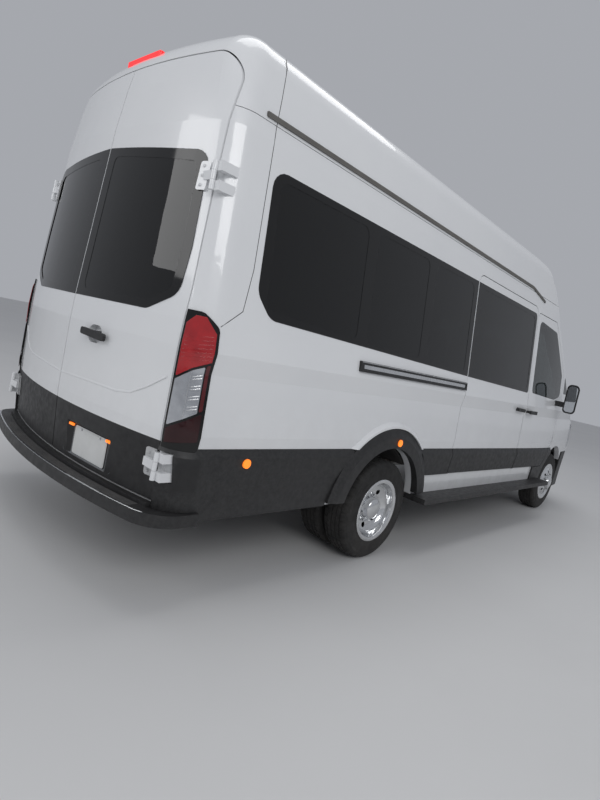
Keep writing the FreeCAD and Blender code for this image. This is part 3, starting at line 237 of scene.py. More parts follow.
paint = (Finish("white_paint", (0.80, 0.81, 0.82), 0.22).tone((0.74, 0.75, 0.77), 1.3, 0.5).dust(1.15, 0.30)
         .bumped(GRAIN, 0.00004, 0.35, Scale=900.0).coat(0.8, 0.04))
tinted_glass = pane_finish("tinted_glass", (0.010, 0.012, 0.013), (0.007, 0.009, 0.010))
clear_glass = pane_finish("clear_glass", (0.36, 0.40, 0.39), (0.32, 0.37, 0.36))
cab_glass = pane_finish("cab_glass", (0.11, 0.125, 0.125), (0.09, 0.105, 0.105))
gloss_black = Finish("gloss_black", (0.002, 0.002, 0.002), 0.06).tone((0.004, 0.004, 0.004), 6.0, 0.5)
black_plastic = (Finish("black_plastic", (0.007, 0.007, 0.008), 0.5).tone((0.012, 0.012, 0.013), 5.0, 0.7)
                 .dust(0.9, 0.10).wear((0.05, 0.05, 0.05), 0.5).uneven(30.0, 0.40, 0.60)
                 .bumped(GRAIN, 0.0002, 0.5, Scale=1400.0))
red_lens = (Finish("red_lens", (0.42, 0.008, 0.012), 0.06).tone((0.25, 0.004, 0.008), 14.0, 0.6)
            .coat(0.6, 0.02))
clear_lens = Finish("clear_lens", (0.8, 0.82, 0.83), 0.02).glassy().tone((0.7, 0.72, 0.73), 20.0, 0.5)
amber_lens = (Finish("amber_lens", (0.8, 0.25, 0.02), 0.1).tone((0.6, 0.15, 0.01), 40.0, 0.6)
              .glow((1.0, 0.20, 0.02), 1.1))
tyre_rubber = (Finish("tyre_rubber", (0.009, 0.009, 0.009), 0.75).tone((0.018, 0.0175, 0.017), 8.0, 0.8)
               .dust(0.75, 0.18).uneven(24.0, 0.7, 0.92).bumped(GRAIN, 0.0003, 0.5, Scale=700.0))
chrome = (Finish("chrome", (0.78, 0.79, 0.80), 0.05, 1.0).tone((0.62, 0.63, 0.64), 9.0, 0.6).dust(0.7, 0.35)
          .uneven(16.0, 0.03, 0.16))
frame_steel = (Finish("frame_steel", (0.02, 0.02, 0.021), 0.5).tone((0.05, 0.045, 0.04), 7.0, 0.8)
               .dust(0.95, 0.6).wear((0.2, 0.17, 0.15), 0.6).bumped(GRAIN, 0.0004, 0.5, Scale=300.0))
cast_metal = (Finish("cast_metal", (0.10, 0.095, 0.09), 0.7, 0.6).tone((0.13, 0.08, 0.05), 6.0, 0.7)
              .dust(0.9, 0.6).bumped(GRAIN, 0.0008, 0.6, Scale=180.0))
galvanised = (Finish("galvanised_steel", (0.42, 0.43, 0.44), 0.42, 1.0).tone((0.28, 0.24, 0.2), 5.0, 0.8)
              .dust(0.9, 0.6).uneven(22.0, 0.35, 0.6))
cabin_plastic = (Finish("cabin_plastic", (0.055, 0.056, 0.06), 0.6).tone((0.075, 0.076, 0.08), 4.0, 0.5)
                 .wear((0.14, 0.14, 0.14), 0.4).bumped(GRAIN, 0.0003, 0.5, Scale=1100.0))
seat_cloth = (Finish("seat_cloth", (0.075, 0.08, 0.09), 0.85).tone((0.1, 0.105, 0.115), 12.0, 0.8)
              .bumped(WEAVE, 0.0006, 0.7, Threads=1400.0))
underbody = (Finish("underbody", (0.035, 0.035, 0.037), 0.7).tone((0.055, 0.05, 0.046), 4.0, 0.8)
             .dust(1.0, 0.6).bumped(GRAIN, 0.0009, 0.7, Scale=150.0))
red_glow = (Finish("stop_lamp_red", (0.55, 0.01, 0.015), 0.12).tone((0.4, 0.006, 0.01), 20.0, 0.5)
            .glow((1.0, 0.03, 0.03), 0.9))
dark_red = (Finish("dark_red_lens", (0.10, 0.003, 0.005), 0.07).tone((0.06, 0.002, 0.003), 20.0, 0.6)
            .coat(0.6, 0.02))
lamp_silver = (Finish("lamp_silver", (0.55, 0.57, 0.60), 0.16, 0.75).tone((0.42, 0.43, 0.46), 26.0, 0.7)
               .bumped(GRAIN, 0.0006, 0.5, Scale=160.0).coat(1.0, 0.02))
bright_metal = (Finish("bright_metal", (0.70, 0.71, 0.72), 0.22, 1.0).tone((0.55, 0.55, 0.56), 8.0, 0.6)
                .uneven(40.0, 0.16, 0.34))
plate_white = (Finish("plate_white", (0.72, 0.73, 0.72), 0.35).tone((0.66, 0.67, 0.66), 12.0, 0.5)
               .dust(1.2, 0.35).coat(0.3, 0.1))
mirror_face = Finish("mirror_glass", (0.62, 0.64, 0.66), 0.02, 1.0).tone((0.56, 0.58, 0.60), 6.0, 0.5)
# Grey that paints the shade inside a recess in the white paint
recess_shade_grey = (Finish("recess_shade_grey", (0.16, 0.17, 0.18), 0.45).tone((0.12, 0.125, 0.13), 10.0, 0.6)
            .bumped(GRAIN, 0.0002, 0.4, Scale=900.0))
hinge_grey = (Finish("hinge_grey", (0.46, 0.47, 0.48), 0.4).tone((0.38, 0.39, 0.40), 14.0, 0.6)
              .dust(1.0, 0.4).wear((0.6, 0.6, 0.6), 0.6))
# Near-black that paints the shade in the groove of the corner seam
seam_painted_shade = Finish("seam_painted_shade", (0.03, 0.03, 0.032), 0.8).tone((0.06, 0.058, 0.055), 20.0, 0.6)
# Grey that paints the shade of the drip channel on the white gutter strips
gutter_painted_shade = Finish("gutter_painted_shade", (0.13, 0.125, 0.115), 0.6).tone((0.09, 0.086, 0.08), 8.0, 0.6)
smoked_red = Finish("smoked_red_lens", (0.020, 0.001, 0.002), 0.06).tone((0.035, 0.001, 0.003), 20.0, 0.6)
step_rubber = (Finish("step_rubber", (0.022, 0.022, 0.024), 0.62).tone((0.05, 0.048, 0.046), 9.0, 0.8)
               .dust(0.9, 0.5).wear((0.12, 0.12, 0.12), 0.6).bumped(GRAIN, 0.0003, 0.6, Scale=900.0))

PAINTED = ("side_panel", "roof_panel", "front_end", "bonnet", "front_door_right", "front_door_left",
           "rear_door_")
# Finish of each CAD node whose name starts with one of the words. The first row that fits counts.
NODE_FINISHES = (
    (("sliding_door_trim", "rear_door_trim"), black_plastic),
    ("gutter_strips", gutter_painted_shade),
    ("marker_lamps", amber_lens),
    ("high_stop_lamp", red_glow),
    (PAINTED + ("rear_hinge_",), paint),
    (("side_glass", "sliding_door_glass", "rear_glass"), tinted_glass),
    ("windscreen", clear_glass),
    ("front_glass", cab_glass),
    ("tail_lamps", gloss_black),
    ("headlamps", clear_lens),
    (("grille", "front_bumper", "side_cladding", "arch_flares", "running_board", "rear_step",
      "front_door_trim", "rear_lower_panel"), black_plastic),
    ("sliding_door", paint),
    (("front_tyre", "rear_tyres"), tyre_rubber),
    (("front_rim", "rear_rims"), chrome),
    (("chassis_frame", "seat_stands", "propeller_shaft", "front_suspension"), frame_steel),
    (("engine_block", "rear_axle", "knuckle"), cast_metal),
    ("exhaust_system", galvanised),
    ("dashboard", cabin_plastic),
    (("cab_seats", "passenger_seats"), seat_cloth),
    (("floor_pan", "fuel_tank"), underbody),
)


def finish_of(name):
    for starts, finish in NODE_FINISHES:
        if name.startswith(starts):
            return finish
    raise RuntimeError(f"no finish for {name}")


def clad(obj, finish):
    """The object's own slot gets the material, and its mesh data stays as it is."""
    if not obj.material_slots:
        obj.data.materials.append(finish.material)
    for slot in obj.material_slots:
        slot.link = "OBJECT"
        slot.material = finish.material


for name, obj in nodes.items():
    clad(obj, finish_of(name))


# Mesh helpers

ROUND_STEPS = 5


def rounded(corners):
    """The points of an outline whose corners are rounded. Corners are (u, v, radius)."""
    points = []
    count = len(corners)
    for index, (u, v, radius) in enumerate(corners):
        here = Vector((u, v))
        before = Vector(corners[index - 1][:2]) - here
        after = Vector(corners[(index + 1) % count][:2]) - here
        if radius == 0:
            points.append(here)
            continue
        half = before.angle(after) / 2
        reach = min(radius / math.tan(half), before.length * 0.49, after.length * 0.49)
        radius = reach * math.tan(half)
        bisector = (before.normalized() + after.normalized()).normalized()
        centre = here + bisector * (radius / math.sin(half))
        start = here + before.normalized() * reach - centre
        end = here + after.normalized() * reach - centre
        turn = start.angle_signed(end)
        for step in range(ROUND_STEPS + 1):
            angle = -turn * step / ROUND_STEPS
            arm = Vector((start.x * math.cos(angle) - start.y * math.sin(angle),
                          start.x * math.sin(angle) + start.y * math.cos(angle)))
            points.append(centre + arm)
    return points


def inset(corners, step):
    """The outline's corners moved inwards. It runs anticlockwise."""
    moved = []
    count = len(corners)
    for index, (u, v, radius) in enumerate(corners):
        before = corners[index - 1]
        after = corners[(index + 1) % count]
        first = Vector((u - before[0], v - before[1])).normalized()
        second = Vector((after[0] - u, after[1] - v)).normalized()
        normal = Vector((-first.y - second.y, first.x + second.x))
        scale = step / (1 + first.dot(second))
        turn = first.x * second.y - first.y * second.x
        bend = radius - step if turn > 0 else radius + step
        moved.append((u + normal.x * scale, v + normal.y * scale, max(bend, 0.001) if radius else 0))
    return moved


def boxed(near, far, low, high, near_round, far_round):
    """A box's outline. Its far corners may be rounder than its near ones."""
    return rounded(((near, low, near_round), (far, low, far_round), (far, high, far_round),
                    (near, high, near_round)))


# A grid cell wider than any piece, so that the piece isn't cut
WHOLE = 1.0


def filled(loops, cell):
    """A flat mesh inside the first loop and outside the others, cut by a grid so that it can bend."""
    made = bmesh.new()
    edges = []
    for loop in loops:
        corners = [made.verts.new((u, v, 0)) for u, v in loop]
        edges += [made.edges.new((corners[index - 1], corners[index])) for index in range(len(corners))]
    bmesh.ops.triangle_fill(made, use_beauty=True, edges=edges)
    for axis, normal in enumerate((AHEAD, LEFTWARD)):
        spots = [vert.co[axis] for vert in made.verts]
        low, high = min(spots), max(spots)
        cuts = int((high - low) / cell)
        for index in range(1, cuts + 1):
            spot = normal * (low + (high - low) * index / (cuts + 1))
            geometry = made.verts[:] + made.edges[:] + made.faces[:]
            bmesh.ops.bisect_plane(made, geom=geometry, dist=1e-6, plane_co=spot, plane_no=normal)
    return made


def thickened(flat, front, back):
    """A closed slab. Front and back turn each flat vertex into its two places."""
    made = bmesh.new()
    fronts = {vert: made.verts.new(front(vert.co)) for vert in flat.verts}
    backs = {vert: made.verts.new(back(vert.co)) for vert in flat.verts}
    for face in flat.faces:
        made.faces.new([fronts[vert] for vert in face.verts])
        made.faces.new([backs[vert] for vert in reversed(face.verts)])
    for edge in flat.edges:
        if len(edge.link_faces) == 1:
            first, second = edge.verts
            made.faces.new([fronts[first], fronts[second], backs[second], backs[first]])
    flat.free()
    bmesh.ops.recalc_face_normals(made, faces=made.faces[:])
    return made


def linked(name, data):
    """A new object, linked into the scene."""
    obj = bpy.data.objects.new(name, data)
    bpy.context.scene.collection.objects.link(obj)
    return obj


def add_piece(name, made, finish, body, mirror=False, sharp=35):
    """A finished mesh that rides on a body. A mirrored one is turned over the centre plane."""
    if mirror:
        bmesh.ops.scale(made, vec=(1, -1, 1), verts=made.verts[:])
        bmesh.ops.reverse_faces(made, faces=made.faces[:])
    mesh = bpy.data.meshes.new(name)
    made.to_mesh(mesh)
    made.free()
    mesh.materials.append(finish.material)
    mesh.polygons.foreach_set("use_smooth", [True] * len(mesh.polygons))
    mesh.set_sharp_from_angle(angle=math.radians(sharp))
    obj = linked(name, mesh)
    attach(obj, body)
    return obj


def merged(parts):
    made = bmesh.new()
    for part in parts:
        mesh = bpy.data.meshes.new("part")
        part.to_mesh(mesh)
        part.free()
        made.from_mesh(mesh)
        bpy.data.meshes.remove(mesh)
    return made


def bar(low, high, bevel):
    """A box with softened edges."""
    made = bmesh.new()
    bmesh.ops.create_cube(made, size=1)
    low, high = Vector(low), Vector(high)
    bmesh.ops.scale(made, vec=high - low, verts=made.verts[:])
    bmesh.ops.translate(made, vec=(low + high) / 2, verts=made.verts[:])
    bmesh.ops.bevel(made, geom=made.edges[:], offset=bevel, segments=2, affect="EDGES", profile=0.5)
    return made


def stitched(rings, whole=True, endless=True):
    """A mesh of rings of places, each joined to the next. Ends that don't meet are closed.
    Rings that aren't whole stay open between their last place and their first."""
    made = bmesh.new()
    rings = [[made.verts.new(place) for place in ring] for ring in rings]
    count = len(rings[0])
    for ring, following in zip(rings, rings[1:] + rings[:1] if endless else rings[1:]):
        for spot in range(count if whole else count - 1):
            nearby = (spot + 1) % count
            made.faces.new((ring[spot], ring[nearby], following[nearby], following[spot]))
    if not endless:
        made.faces.new(rings[0])
        made.faces.new(rings[-1][::-1])
    bmesh.ops.recalc_face_normals(made, faces=made.faces[:])
    return made


def turned(profile, segments, whole=True):
    """A lathed mesh about the Y axis. Profile is (radius, along)."""
    rings = []
    for index in range(segments):
        angle = 2 * math.pi * index / segments
        rings.append([(r * math.cos(angle), y, r * math.sin(angle)) for r, y in profile])
    return stitched(rings, whole)


def moved(made, place=(0, 0, 0), matrix=None):
    if matrix is not None:
        bmesh.ops.transform(made, matrix=matrix, verts=made.verts[:])
    bmesh.ops.translate(made, vec=Vector(place), verts=made.verts[:])
    return made


# The body's skin, found by rays from outside

SKIN_NODES = PAINTED + ("sliding_door", "rear_lower_panel", "side_glass", "rear_glass", "front_glass",
                        "windscreen", "tail_lamps", "headlamps")
# How far a gap's neighbours are looked for, and how much nearer they have to be to count
GAP_STEP = 0.011
GAP_DEPTH = 0.002
FAR = 5.0


def tree_of(names):
    """The CAD nodes' meshes, to be met by rays."""
    made = bmesh.new()
    for name in names:
        made.from_mesh(nodes[name].data)
    tree = BVHTree.FromBMesh(made)
    made.free()
    return tree


SKIN = tree_of([name for name in nodes if name.startswith(SKIN_NODES) and "trim" not in name])


def outermost(start, way, across):
    """The first skin point met by a ray, or by its neighbours where it falls into a gap."""
    best = None
    for step_u, step_v in ((0, 0), (1, 0), (-1, 0), (0, 1), (0, -1)):
        origin = start + across[0] * (step_u * GAP_STEP) + across[1] * (step_v * GAP_STEP)
        hit = SKIN.ray_cast(origin, way)
        if hit[0] is not None and (best is None or hit[3] < best - GAP_DEPTH):
            best = hit[3]
    if best is None:
        raise RuntimeError(f"no skin at {start}")
    return start + way * best


def seen_along(way, along):
    """A placer. For a lift it gives the function that puts flat (along, level) points on the skin, seen
    that way, and a lift outside it."""
    def placer(lift):
        def place(flat):
            start = along * flat.x + UPRIGHT * flat.y - way * FAR
            return outermost(start, way, (along, UPRIGHT)) - way * lift
        return place
    return placer


on_side = seen_along(LEFTWARD, AHEAD)
on_tail = seen_along(AHEAD, LEFTWARD)
on_nose = seen_along(BEHIND, LEFTWARD)


def skin_sheet(loops, placer, lift, depth, cell=0.06):
    """A thin sheet that follows the skin, a lift proud of it and as thick as lift plus depth."""
    return thickened(filled(loops, cell), placer(lift), placer(-depth))


# Black glass band round the side windows

# Columns: rear edge, front edge, sill height at each, of the CAD panes.
SIDE_WINDOWS = (
    (-2.790, -2.010, 1.480, 1.440),
    (-1.935, -1.275, 1.436, 1.424),
    (-1.200, -0.560, 1.422, 1.412),
    (-0.435, 0.862, 1.408, 1.385),
)
GLASS_TOP = 2.140
FRIT = 0.016
BAND_LIFT = 0.0015
BAND_DEPTH = 0.001
BAND_REAR = ((-2.826, 2.165, 0.09), (-2.838, 1.560, 0.10), (-2.735, 1.446, 0.10))


def window_hole(rear, front, rear_sill, front_sill):
    corners = ((rear, rear_sill, 0.06), (front, front_sill, 0.06), (front, GLASS_TOP, 0.07),
               (rear, GLASS_TOP, 0.07))
    return rounded(inset(corners, FRIT))


def side_band(outline, windows, name, body, mirror):
    loops = [rounded(outline)] + [window_hole(*window) for window in windows]
    sheet = skin_sheet(loops, on_side, BAND_LIFT, BAND_DEPTH)
    add_piece(name, sheet, gloss_black, body, mirror)


# On the right side the band is parted at the sliding door's rear gap.
PART_END, DOOR_START = -0.504, -0.488
BAND_TOP = 2.165
BAND_FRONT = ((0.893, 1.366, 0.03), (0.893, BAND_TOP, 0.05))
rear_part = BAND_REAR + ((PART_END, 1.394, 0), (PART_END, BAND_TOP, 0))
door_part = ((DOOR_START, 1.393, 0),) + BAND_FRONT + ((DOOR_START, BAND_TOP, 0),)
side_band(rear_part, SIDE_WINDOWS[:3], "side_band_right", "root", False)
side_band(door_part, SIDE_WINDOWS[3:], "sliding_door_band", "root", False)
side_band(BAND_REAR + BAND_FRONT, SIDE_WINDOWS, "side_band_left", "root", True)


# Black border of the rear glass, one half on each door

REAR_WINDOW = ((0.062, 1.395, 0.06), (0.650, 1.400, 0.08), (0.800, 1.475, 0.07), (0.805, 1.690, 0.20),
               (0.770, 2.100, 0.07), (0.062, 2.145, 0.05))
REAR_BORDER = ((0.006, 1.372, 0), (0.655, 1.374, 0.09), (0.838, 1.470, 0.09), (0.846, 1.690, 0.25),
               (0.812, 2.135, 0.09), (0.006, 2.178, 0))


def other_way(corners):
    return tuple((-u, v, radius) for u, v, radius in reversed(corners))


for side, mirror in SIDES:
    loops = [rounded(other_way(REAR_BORDER)), rounded(inset(other_way(REAR_WINDOW), FRIT))]
    border = skin_sheet(loops, on_tail, BAND_LIFT, BAND_DEPTH)
    add_piece("rear_glass_border_" + side, border, gloss_black, "rear_door_" + side, mirror)


# Strips and lines that follow the skin


def swept(path, section, up=UPRIGHT):
    """A section of (aside, outward) points carried along a path. Outward is near the up direction."""
    rings = []
    for index, spot in enumerate(path):
        before = path[max(index - 1, 0)]
        after = path[min(index + 1, len(path) - 1)]
        ahead = (after - before).normalized()
        aside = ahead.cross(up).normalized()
        outward = aside.cross(ahead)
        rings.append([spot + aside * a + outward * b for a, b in section])
    return stitched(rings, endless=False)


def low_arch(width, height, sink=0.001):
    """The section of a low strip with a rounded top."""
    points = [(-width / 2, -sink)]
    for step in range(7):
        angle = math.pi * step / 6
        points.append((-width / 2 * math.cos(angle), height * math.sin(angle)))
    return points + [(width / 2, -sink)]


def traced(corners, place, step=0.05):
    """Skin points along a broken line of flat places."""
    path = []
    for (u, v), (next_u, next_v) in zip(corners, corners[1:]):
        count = max(1, round(math.hypot(next_u - u, next_v - v) / step))
        for index in range(count):
            share = index / count
            path.append(place(Vector((u + (next_u - u) * share, v + (next_v - v) * share))))
    path.append(place(Vector(corners[-1])))
    return path


def skin_line(name, corners, placer, up, section, finish, body, mirror=False, lift=0.0):
    add_piece(name, swept(traced(corners, placer(lift)), section, up), finish, body, mirror)


def bolt(radius, tall, sides=6):
    """A bolt head that stands along +Z on its washer."""
    parts = []
    for spread, low, high, corners in ((1.35, 0, 0.25, 20), (1.0, 0.2, 1.0, sides)):
        head = bmesh.new()
        foot = radius * spread
        bmesh.ops.create_cone(head, cap_ends=True, segments=corners, radius1=foot, radius2=foot * 0.94,
                              depth=tall * (high - low))
        parts.append(moved(head, (0, 0, tall * (low + high) / 2)))
    return merged(parts)


def facing(outward, place):
    """The matrix that stands a piece made along +Z on a surface."""
    return Matrix.Translation(place) @ Vector(outward).to_track_quat("Z", "Y").to_matrix().to_4x4()


# Seam of the rear corner panel, from the roof down to the lamp, as a near-black strip that paints the shade
# of its groove, and the crease of the rear doors
CORNER_SEAM = ((-2.812, 2.705), (-2.832, 2.50), (-2.850, 2.344), (-2.880, 1.659), (-2.914, 1.454),
               (-3.030, 1.362))
DOOR_CREASE = ((-0.012, 0.939), (-0.327, 0.949), (-0.550, 0.951), (-0.657, 0.968), (-0.760, 1.020),
               (-0.872, 1.092))
for side, mirror in SIDES:
    skin_line("corner_seam_shade_" + side, CORNER_SEAM, on_side, RIGHTWARD, low_arch(0.004, 0.0005), seam_painted_shade,
              "root", mirror)
    skin_line("door_crease_" + side, DOOR_CREASE, on_tail, BEHIND, low_arch(0.012, 0.0018), paint,
              "rear_door_" + side, mirror)


# Tail lamps. Flat places are (share of the lamp's width, times LAMP_WIDE, and level).

LAMP_AXIS = Vector((-3.0, -0.80, 0))
LAMP_WIDE = 0.22
LAMP_FOOT = 0.780
LAMP_STEP = 0.04
LAMP_COUNT = 17
CORNER_REACH = 0.24


def bearing_of(spot):
    return math.atan2(LAMP_AXIS.y - spot.y, LAMP_AXIS.x - spot.x)


# Bearings of the lamp's inner and outer edge at each level
LAMP_EDGES = []
for lamp_index in range(LAMP_COUNT):
    lamp_level = LAMP_FOOT + LAMP_STEP * lamp_index
    LAMP_EDGES.append((bearing_of(on_tail(0)(Vector((-0.918, lamp_level)))),
                       bearing_of(on_side(0)(Vector((-3.038, lamp_level))))))


def lamp_bearing(flat):
    steps = (flat.y - LAMP_FOOT) / LAMP_STEP
    index = min(max(int(steps), 0), LAMP_COUNT - 2)
    share = steps - index
    lower, upper = LAMP_EDGES[index], LAMP_EDGES[index + 1]
    inner, outer = (lower[end] * (1 - share) + upper[end] * share for end in (0, 1))
    return inner + (outer - inner) * flat.x / LAMP_WIDE


def round_corner(bearing_at, lift):
    """Puts flat points on the skin round the body's rear corner, each at the bearing found for it."""
    def place(flat):
        bearing = bearing_at(flat)
        way = Vector((-math.cos(bearing), -math.sin(bearing), 0))
        start = Vector((LAMP_AXIS.x, LAMP_AXIS.y, flat.y)) + way
        return outermost(start, -way, (way.cross(UPRIGHT), UPRIGHT)) + way * lift
    return place


def on_lamp(lift):
    return round_corner(lamp_bearing, lift)


LENS_LIFT = 0.003
LENS_ROUND = 0.006
LENS_CELL = 0.02
LENS_BEVEL = 0.001
# Ribs of the clear part, in pairs, and lines of the red top: count, first level, spacing
RIB_PAIRS, RIB_LEVEL, RIB_STEP, PAIR_GAP = 4, 0.965, 0.047, 0.013
LINE_COUNT, LINE_LEVEL, LINE_STEP = 7, 1.20, 0.018
RED_TOP = ((0.06, 1.106), (0.50, 1.160), (0.93, 1.196), (0.93, 1.325), (0.60, 1.392), (0.30, 1.392),
           (0.06, 1.352))
CLEAR_PART = ((0.06, 0.880), (0.50, 0.925), (0.80, 0.958), (0.80, 1.172), (0.50, 1.148), (0.06, 1.094))
RED_MARGIN = ((0.83, 0.962), (0.93, 0.972), (0.93, 1.184), (0.83, 1.176))
RED_LOW = ((0.06, 0.800), (0.93, 0.826), (0.93, 0.960), (0.50, 0.913), (0.06, 0.868))
LENSES = (("red", RED_TOP, red_lens), ("clear", CLEAR_PART, lamp_silver), ("margin", RED_MARGIN, dark_red),
          ("low", RED_LOW, smoked_red))


def lamp_strip(start, end, step, section):
    """A strip on the lamp from one (share of its width, level) place to another."""
    ends = [(share * LAMP_WIDE, level) for share, level in (start, end)]
    return swept(traced(ends, on_lamp(LENS_LIFT), step), section, CORNERWARD)


for side, mirror in SIDES:
    for label, corners, finish in LENSES:
        outline = rounded([(share * LAMP_WIDE, level, LENS_ROUND) for share, level in corners])
        lens = skin_sheet([outline], on_lamp, LENS_LIFT, 0.0, LENS_CELL)
        rims = [edge for edge in lens.edges if len(edge.link_faces) == 2 and edge.calc_face_angle() > 1.0]
        bmesh.ops.bevel(lens, geom=rims, offset=LENS_BEVEL, segments=1, affect="EDGES")
        add_piece(f"lens_{label}_{side}", lens, finish, "root", mirror)
    ribs = []
    for pair in range(RIB_PAIRS):
        for step in (0, PAIR_GAP):
            level = RIB_LEVEL + RIB_STEP * pair + step
            ribs.append(lamp_strip((0.52, level), (0.77, level + 0.012), 0.012, low_arch(0.006, 0.002)))
    ribs.append(lamp_strip((0.47, 0.93), (0.47, 1.14), 0.02, low_arch(0.004, 0.002)))
    add_piece("lens_ribs_" + side, merged(ribs), bright_metal, "root", mirror)
    lines = []
    for step in range(LINE_COUNT):
        level = LINE_LEVEL + LINE_STEP * step
        lines.append(lamp_strip((0.12, level - 0.02), (0.88, level + 0.004), 0.012, low_arch(0.003, 0.0008)))
    add_piece("lens_lines_" + side, merged(lines), red_lens, "root", mirror)


# Blank number plate, its two lamps and a grey lining of its recess that paints the recess's shade

PLATE_SPOT = Vector((-3.2072, -0.35968, 0.612))
PLATE_OUT = Vector((-0.995305, -0.096788, 0))
PLATE_ALONG = Vector((-0.096788, 0.995305, 0))
PLATE_LONG = 0.305
PLATE_TALL = 0.152
PLATE_FACE, PLATE_BACK = 0.004, 0.0025
RIM_FACE, RIM_BACK = 0.005, 0.0035
HOLE_SIDE = 0.089
HOLE_RISE = 0.064
SCREW = (0.006, 0.004, 20)


def on_plate(lift):
    def place(flat):
        return PLATE_SPOT + PLATE_ALONG * flat.x + UPRIGHT * flat.y + PLATE_OUT * lift
    return place


def framed(long, tall, radius, shift=0.0):
    return boxed(-long / 2, long / 2, shift - tall / 2, shift + tall / 2, radius, radius)


plate_sheet = thickened(filled([framed(PLATE_LONG, PLATE_TALL, 0.012)], WHOLE), on_plate(PLATE_FACE),
                        on_plate(PLATE_BACK))
add_piece("number_plate", plate_sheet, plate_white, "rear_door_right")
plate_rim = thickened(filled([framed(0.293, 0.140, 0.009), framed(0.287, 0.134, 0.007)], WHOLE),
                      on_plate(RIM_FACE), on_plate(RIM_BACK))
add_piece("number_plate_rim", plate_rim, plate_white, "rear_door_right")
screws = []
for sign in (-1, 1):
    spot = on_plate(PLATE_FACE)(Vector((sign * HOLE_SIDE, HOLE_RISE)))
    screws.append(moved(bolt(*SCREW), matrix=facing(PLATE_OUT, spot)))
add_piece("number_plate_screws", merged(screws), bright_metal, "rear_door_right")


def lining(outer_loop, inner_loop, outer_place, inner_place, thick):
    """A closed sleeve between two loops that have as many points."""
    outer, inner = (outer_loop, outer_place), (inner_loop, inner_place)
    rows = []
    for (loop, place), step in ((outer, 0), (inner, 0), (inner, thick), (outer, thick)):
        rows.append([place(Vector((u * (1 - step), v * (1 - step)))) for u, v in loop])
    return stitched(rows)


PLATE_LAMP_SIDE, PLATE_LAMP_RISE, PLATE_LAMP_LIFT = 0.178, 0.074, 0.008
MOUTH_LOOP = framed(0.462, 0.176, 0.020, 0.006)
FLOOR_LOOP = framed(0.320, 0.160, 0.008, 0.002)
sleeve = lining(MOUTH_LOOP, FLOOR_LOOP, on_plate(0.012), on_plate(0.0008), 0.004)
add_piece("plate_recess_shade", sleeve, recess_shade_grey, "rear_door_right")
plate_lamps = []
for sign in (-1, 1):
    lamp = bar((-0.022, -0.007, 0), (0.022, 0.007, 0.012), 0.003)
    spot = on_plate(PLATE_LAMP_LIFT)(Vector((sign * PLATE_LAMP_SIDE, PLATE_LAMP_RISE)))
    turn = Matrix((PLATE_ALONG, UPRIGHT, PLATE_OUT)).transposed().to_4x4()
    plate_lamps.append(moved(lamp, matrix=Matrix.Translation(spot) @ turn))
add_piece("plate_lamps", merged(plate_lamps), amber_lens, "rear_door_right")


# Hinge plates and bolts of the rear doors

# Rows: label, middle (across, level), finish.
HINGES = (("low", Vector((-0.935, 0.687)), hinge_grey), ("high", Vector((-0.888, 2.014)), paint))
HINGE_HALF = 0.066
LEAF_LIFT = 0.0105
LEAF_BACK = 0.008
LEAF_ENDS = (0.043, 0.100)
LEAF_BOLTS = ((0.077, -0.044), (0.077, 0), (0.077, 0.044))
FOOT_LIFT = 0.005
FOOT_START = 0.014
FOOT_REACH = 0.075
FOOT_BOLTS = ((0.020, 0.050), (0.056, 0.030), (0.056, -0.030), (0.020, -0.050))
BOLT_RADIUS, BOLT_TALL = 0.0065, 0.006


def standing_bolt(outward, spot):
    return moved(bolt(BOLT_RADIUS, BOLT_TALL), matrix=facing(outward, spot))


def bearing_from(start):
    """Bearings of flat points that lie a distance round the corner from a first bearing."""
    return lambda flat: start + flat.x / CORNER_REACH


for side, mirror in SIDES:
    for label, (across, level), finish in HINGES:
        end = f"_{label}_{side}"
        low, high = level - HINGE_HALF, level + HINGE_HALF
        leaf = boxed(across + LEAF_ENDS[0], across + LEAF_ENDS[1], low, high, 0.008, 0.012)
        add_piece("hinge_plate" + end, skin_sheet([leaf], on_tail, LEAF_LIFT, -LEAF_BACK, 0.03), finish,
                  "rear_door_" + side, mirror)
        heads = []
        for reach, step in LEAF_BOLTS:
            heads.append(standing_bolt(BEHIND, on_tail(LEAF_LIFT)(Vector((across + reach, level + step)))))
        add_piece("hinge_bolts" + end, merged(heads), finish, "rear_door_" + side, mirror)

        bearing_at = bearing_from(bearing_of(on_tail(0)(Vector((across - FOOT_START, level)))))
        face, back, far_out = (round_corner(bearing_at, lift) for lift in (FOOT_LIFT, 0.0, 1.0))
        foot = filled([boxed(0, FOOT_REACH, low, high, 0.006, 0.016)], 0.012)
        add_piece("hinge_foot" + end, thickened(foot, face, back), finish, "root", mirror)
        heads = []
        for reach, step in FOOT_BOLTS:
            flat = Vector((reach, level + step))
            heads.append(standing_bolt(far_out(flat) - face(flat), face(flat)))
        add_piece("foot_bolts" + end, merged(heads), finish, "root", mirror)


# Rear step: ribs along its tread and a bright strip on its edge

STEP = tree_of(["rear_step"])
STEP_LEVEL = 0.480
STEP_COUNT = 48


def step_path(inward, half):
    """Places on the tread at a distance inside its rim, from one side to the other."""
    path = []
    for index in range(STEP_COUNT + 1):
        across = -half + 2 * half * index / STEP_COUNT
        rim = STEP.ray_cast(Vector((-FAR, across, STEP_LEVEL - 0.01)), AHEAD)[0]
        path.append(Vector((rim.x + inward, across, STEP_LEVEL)))
    return path


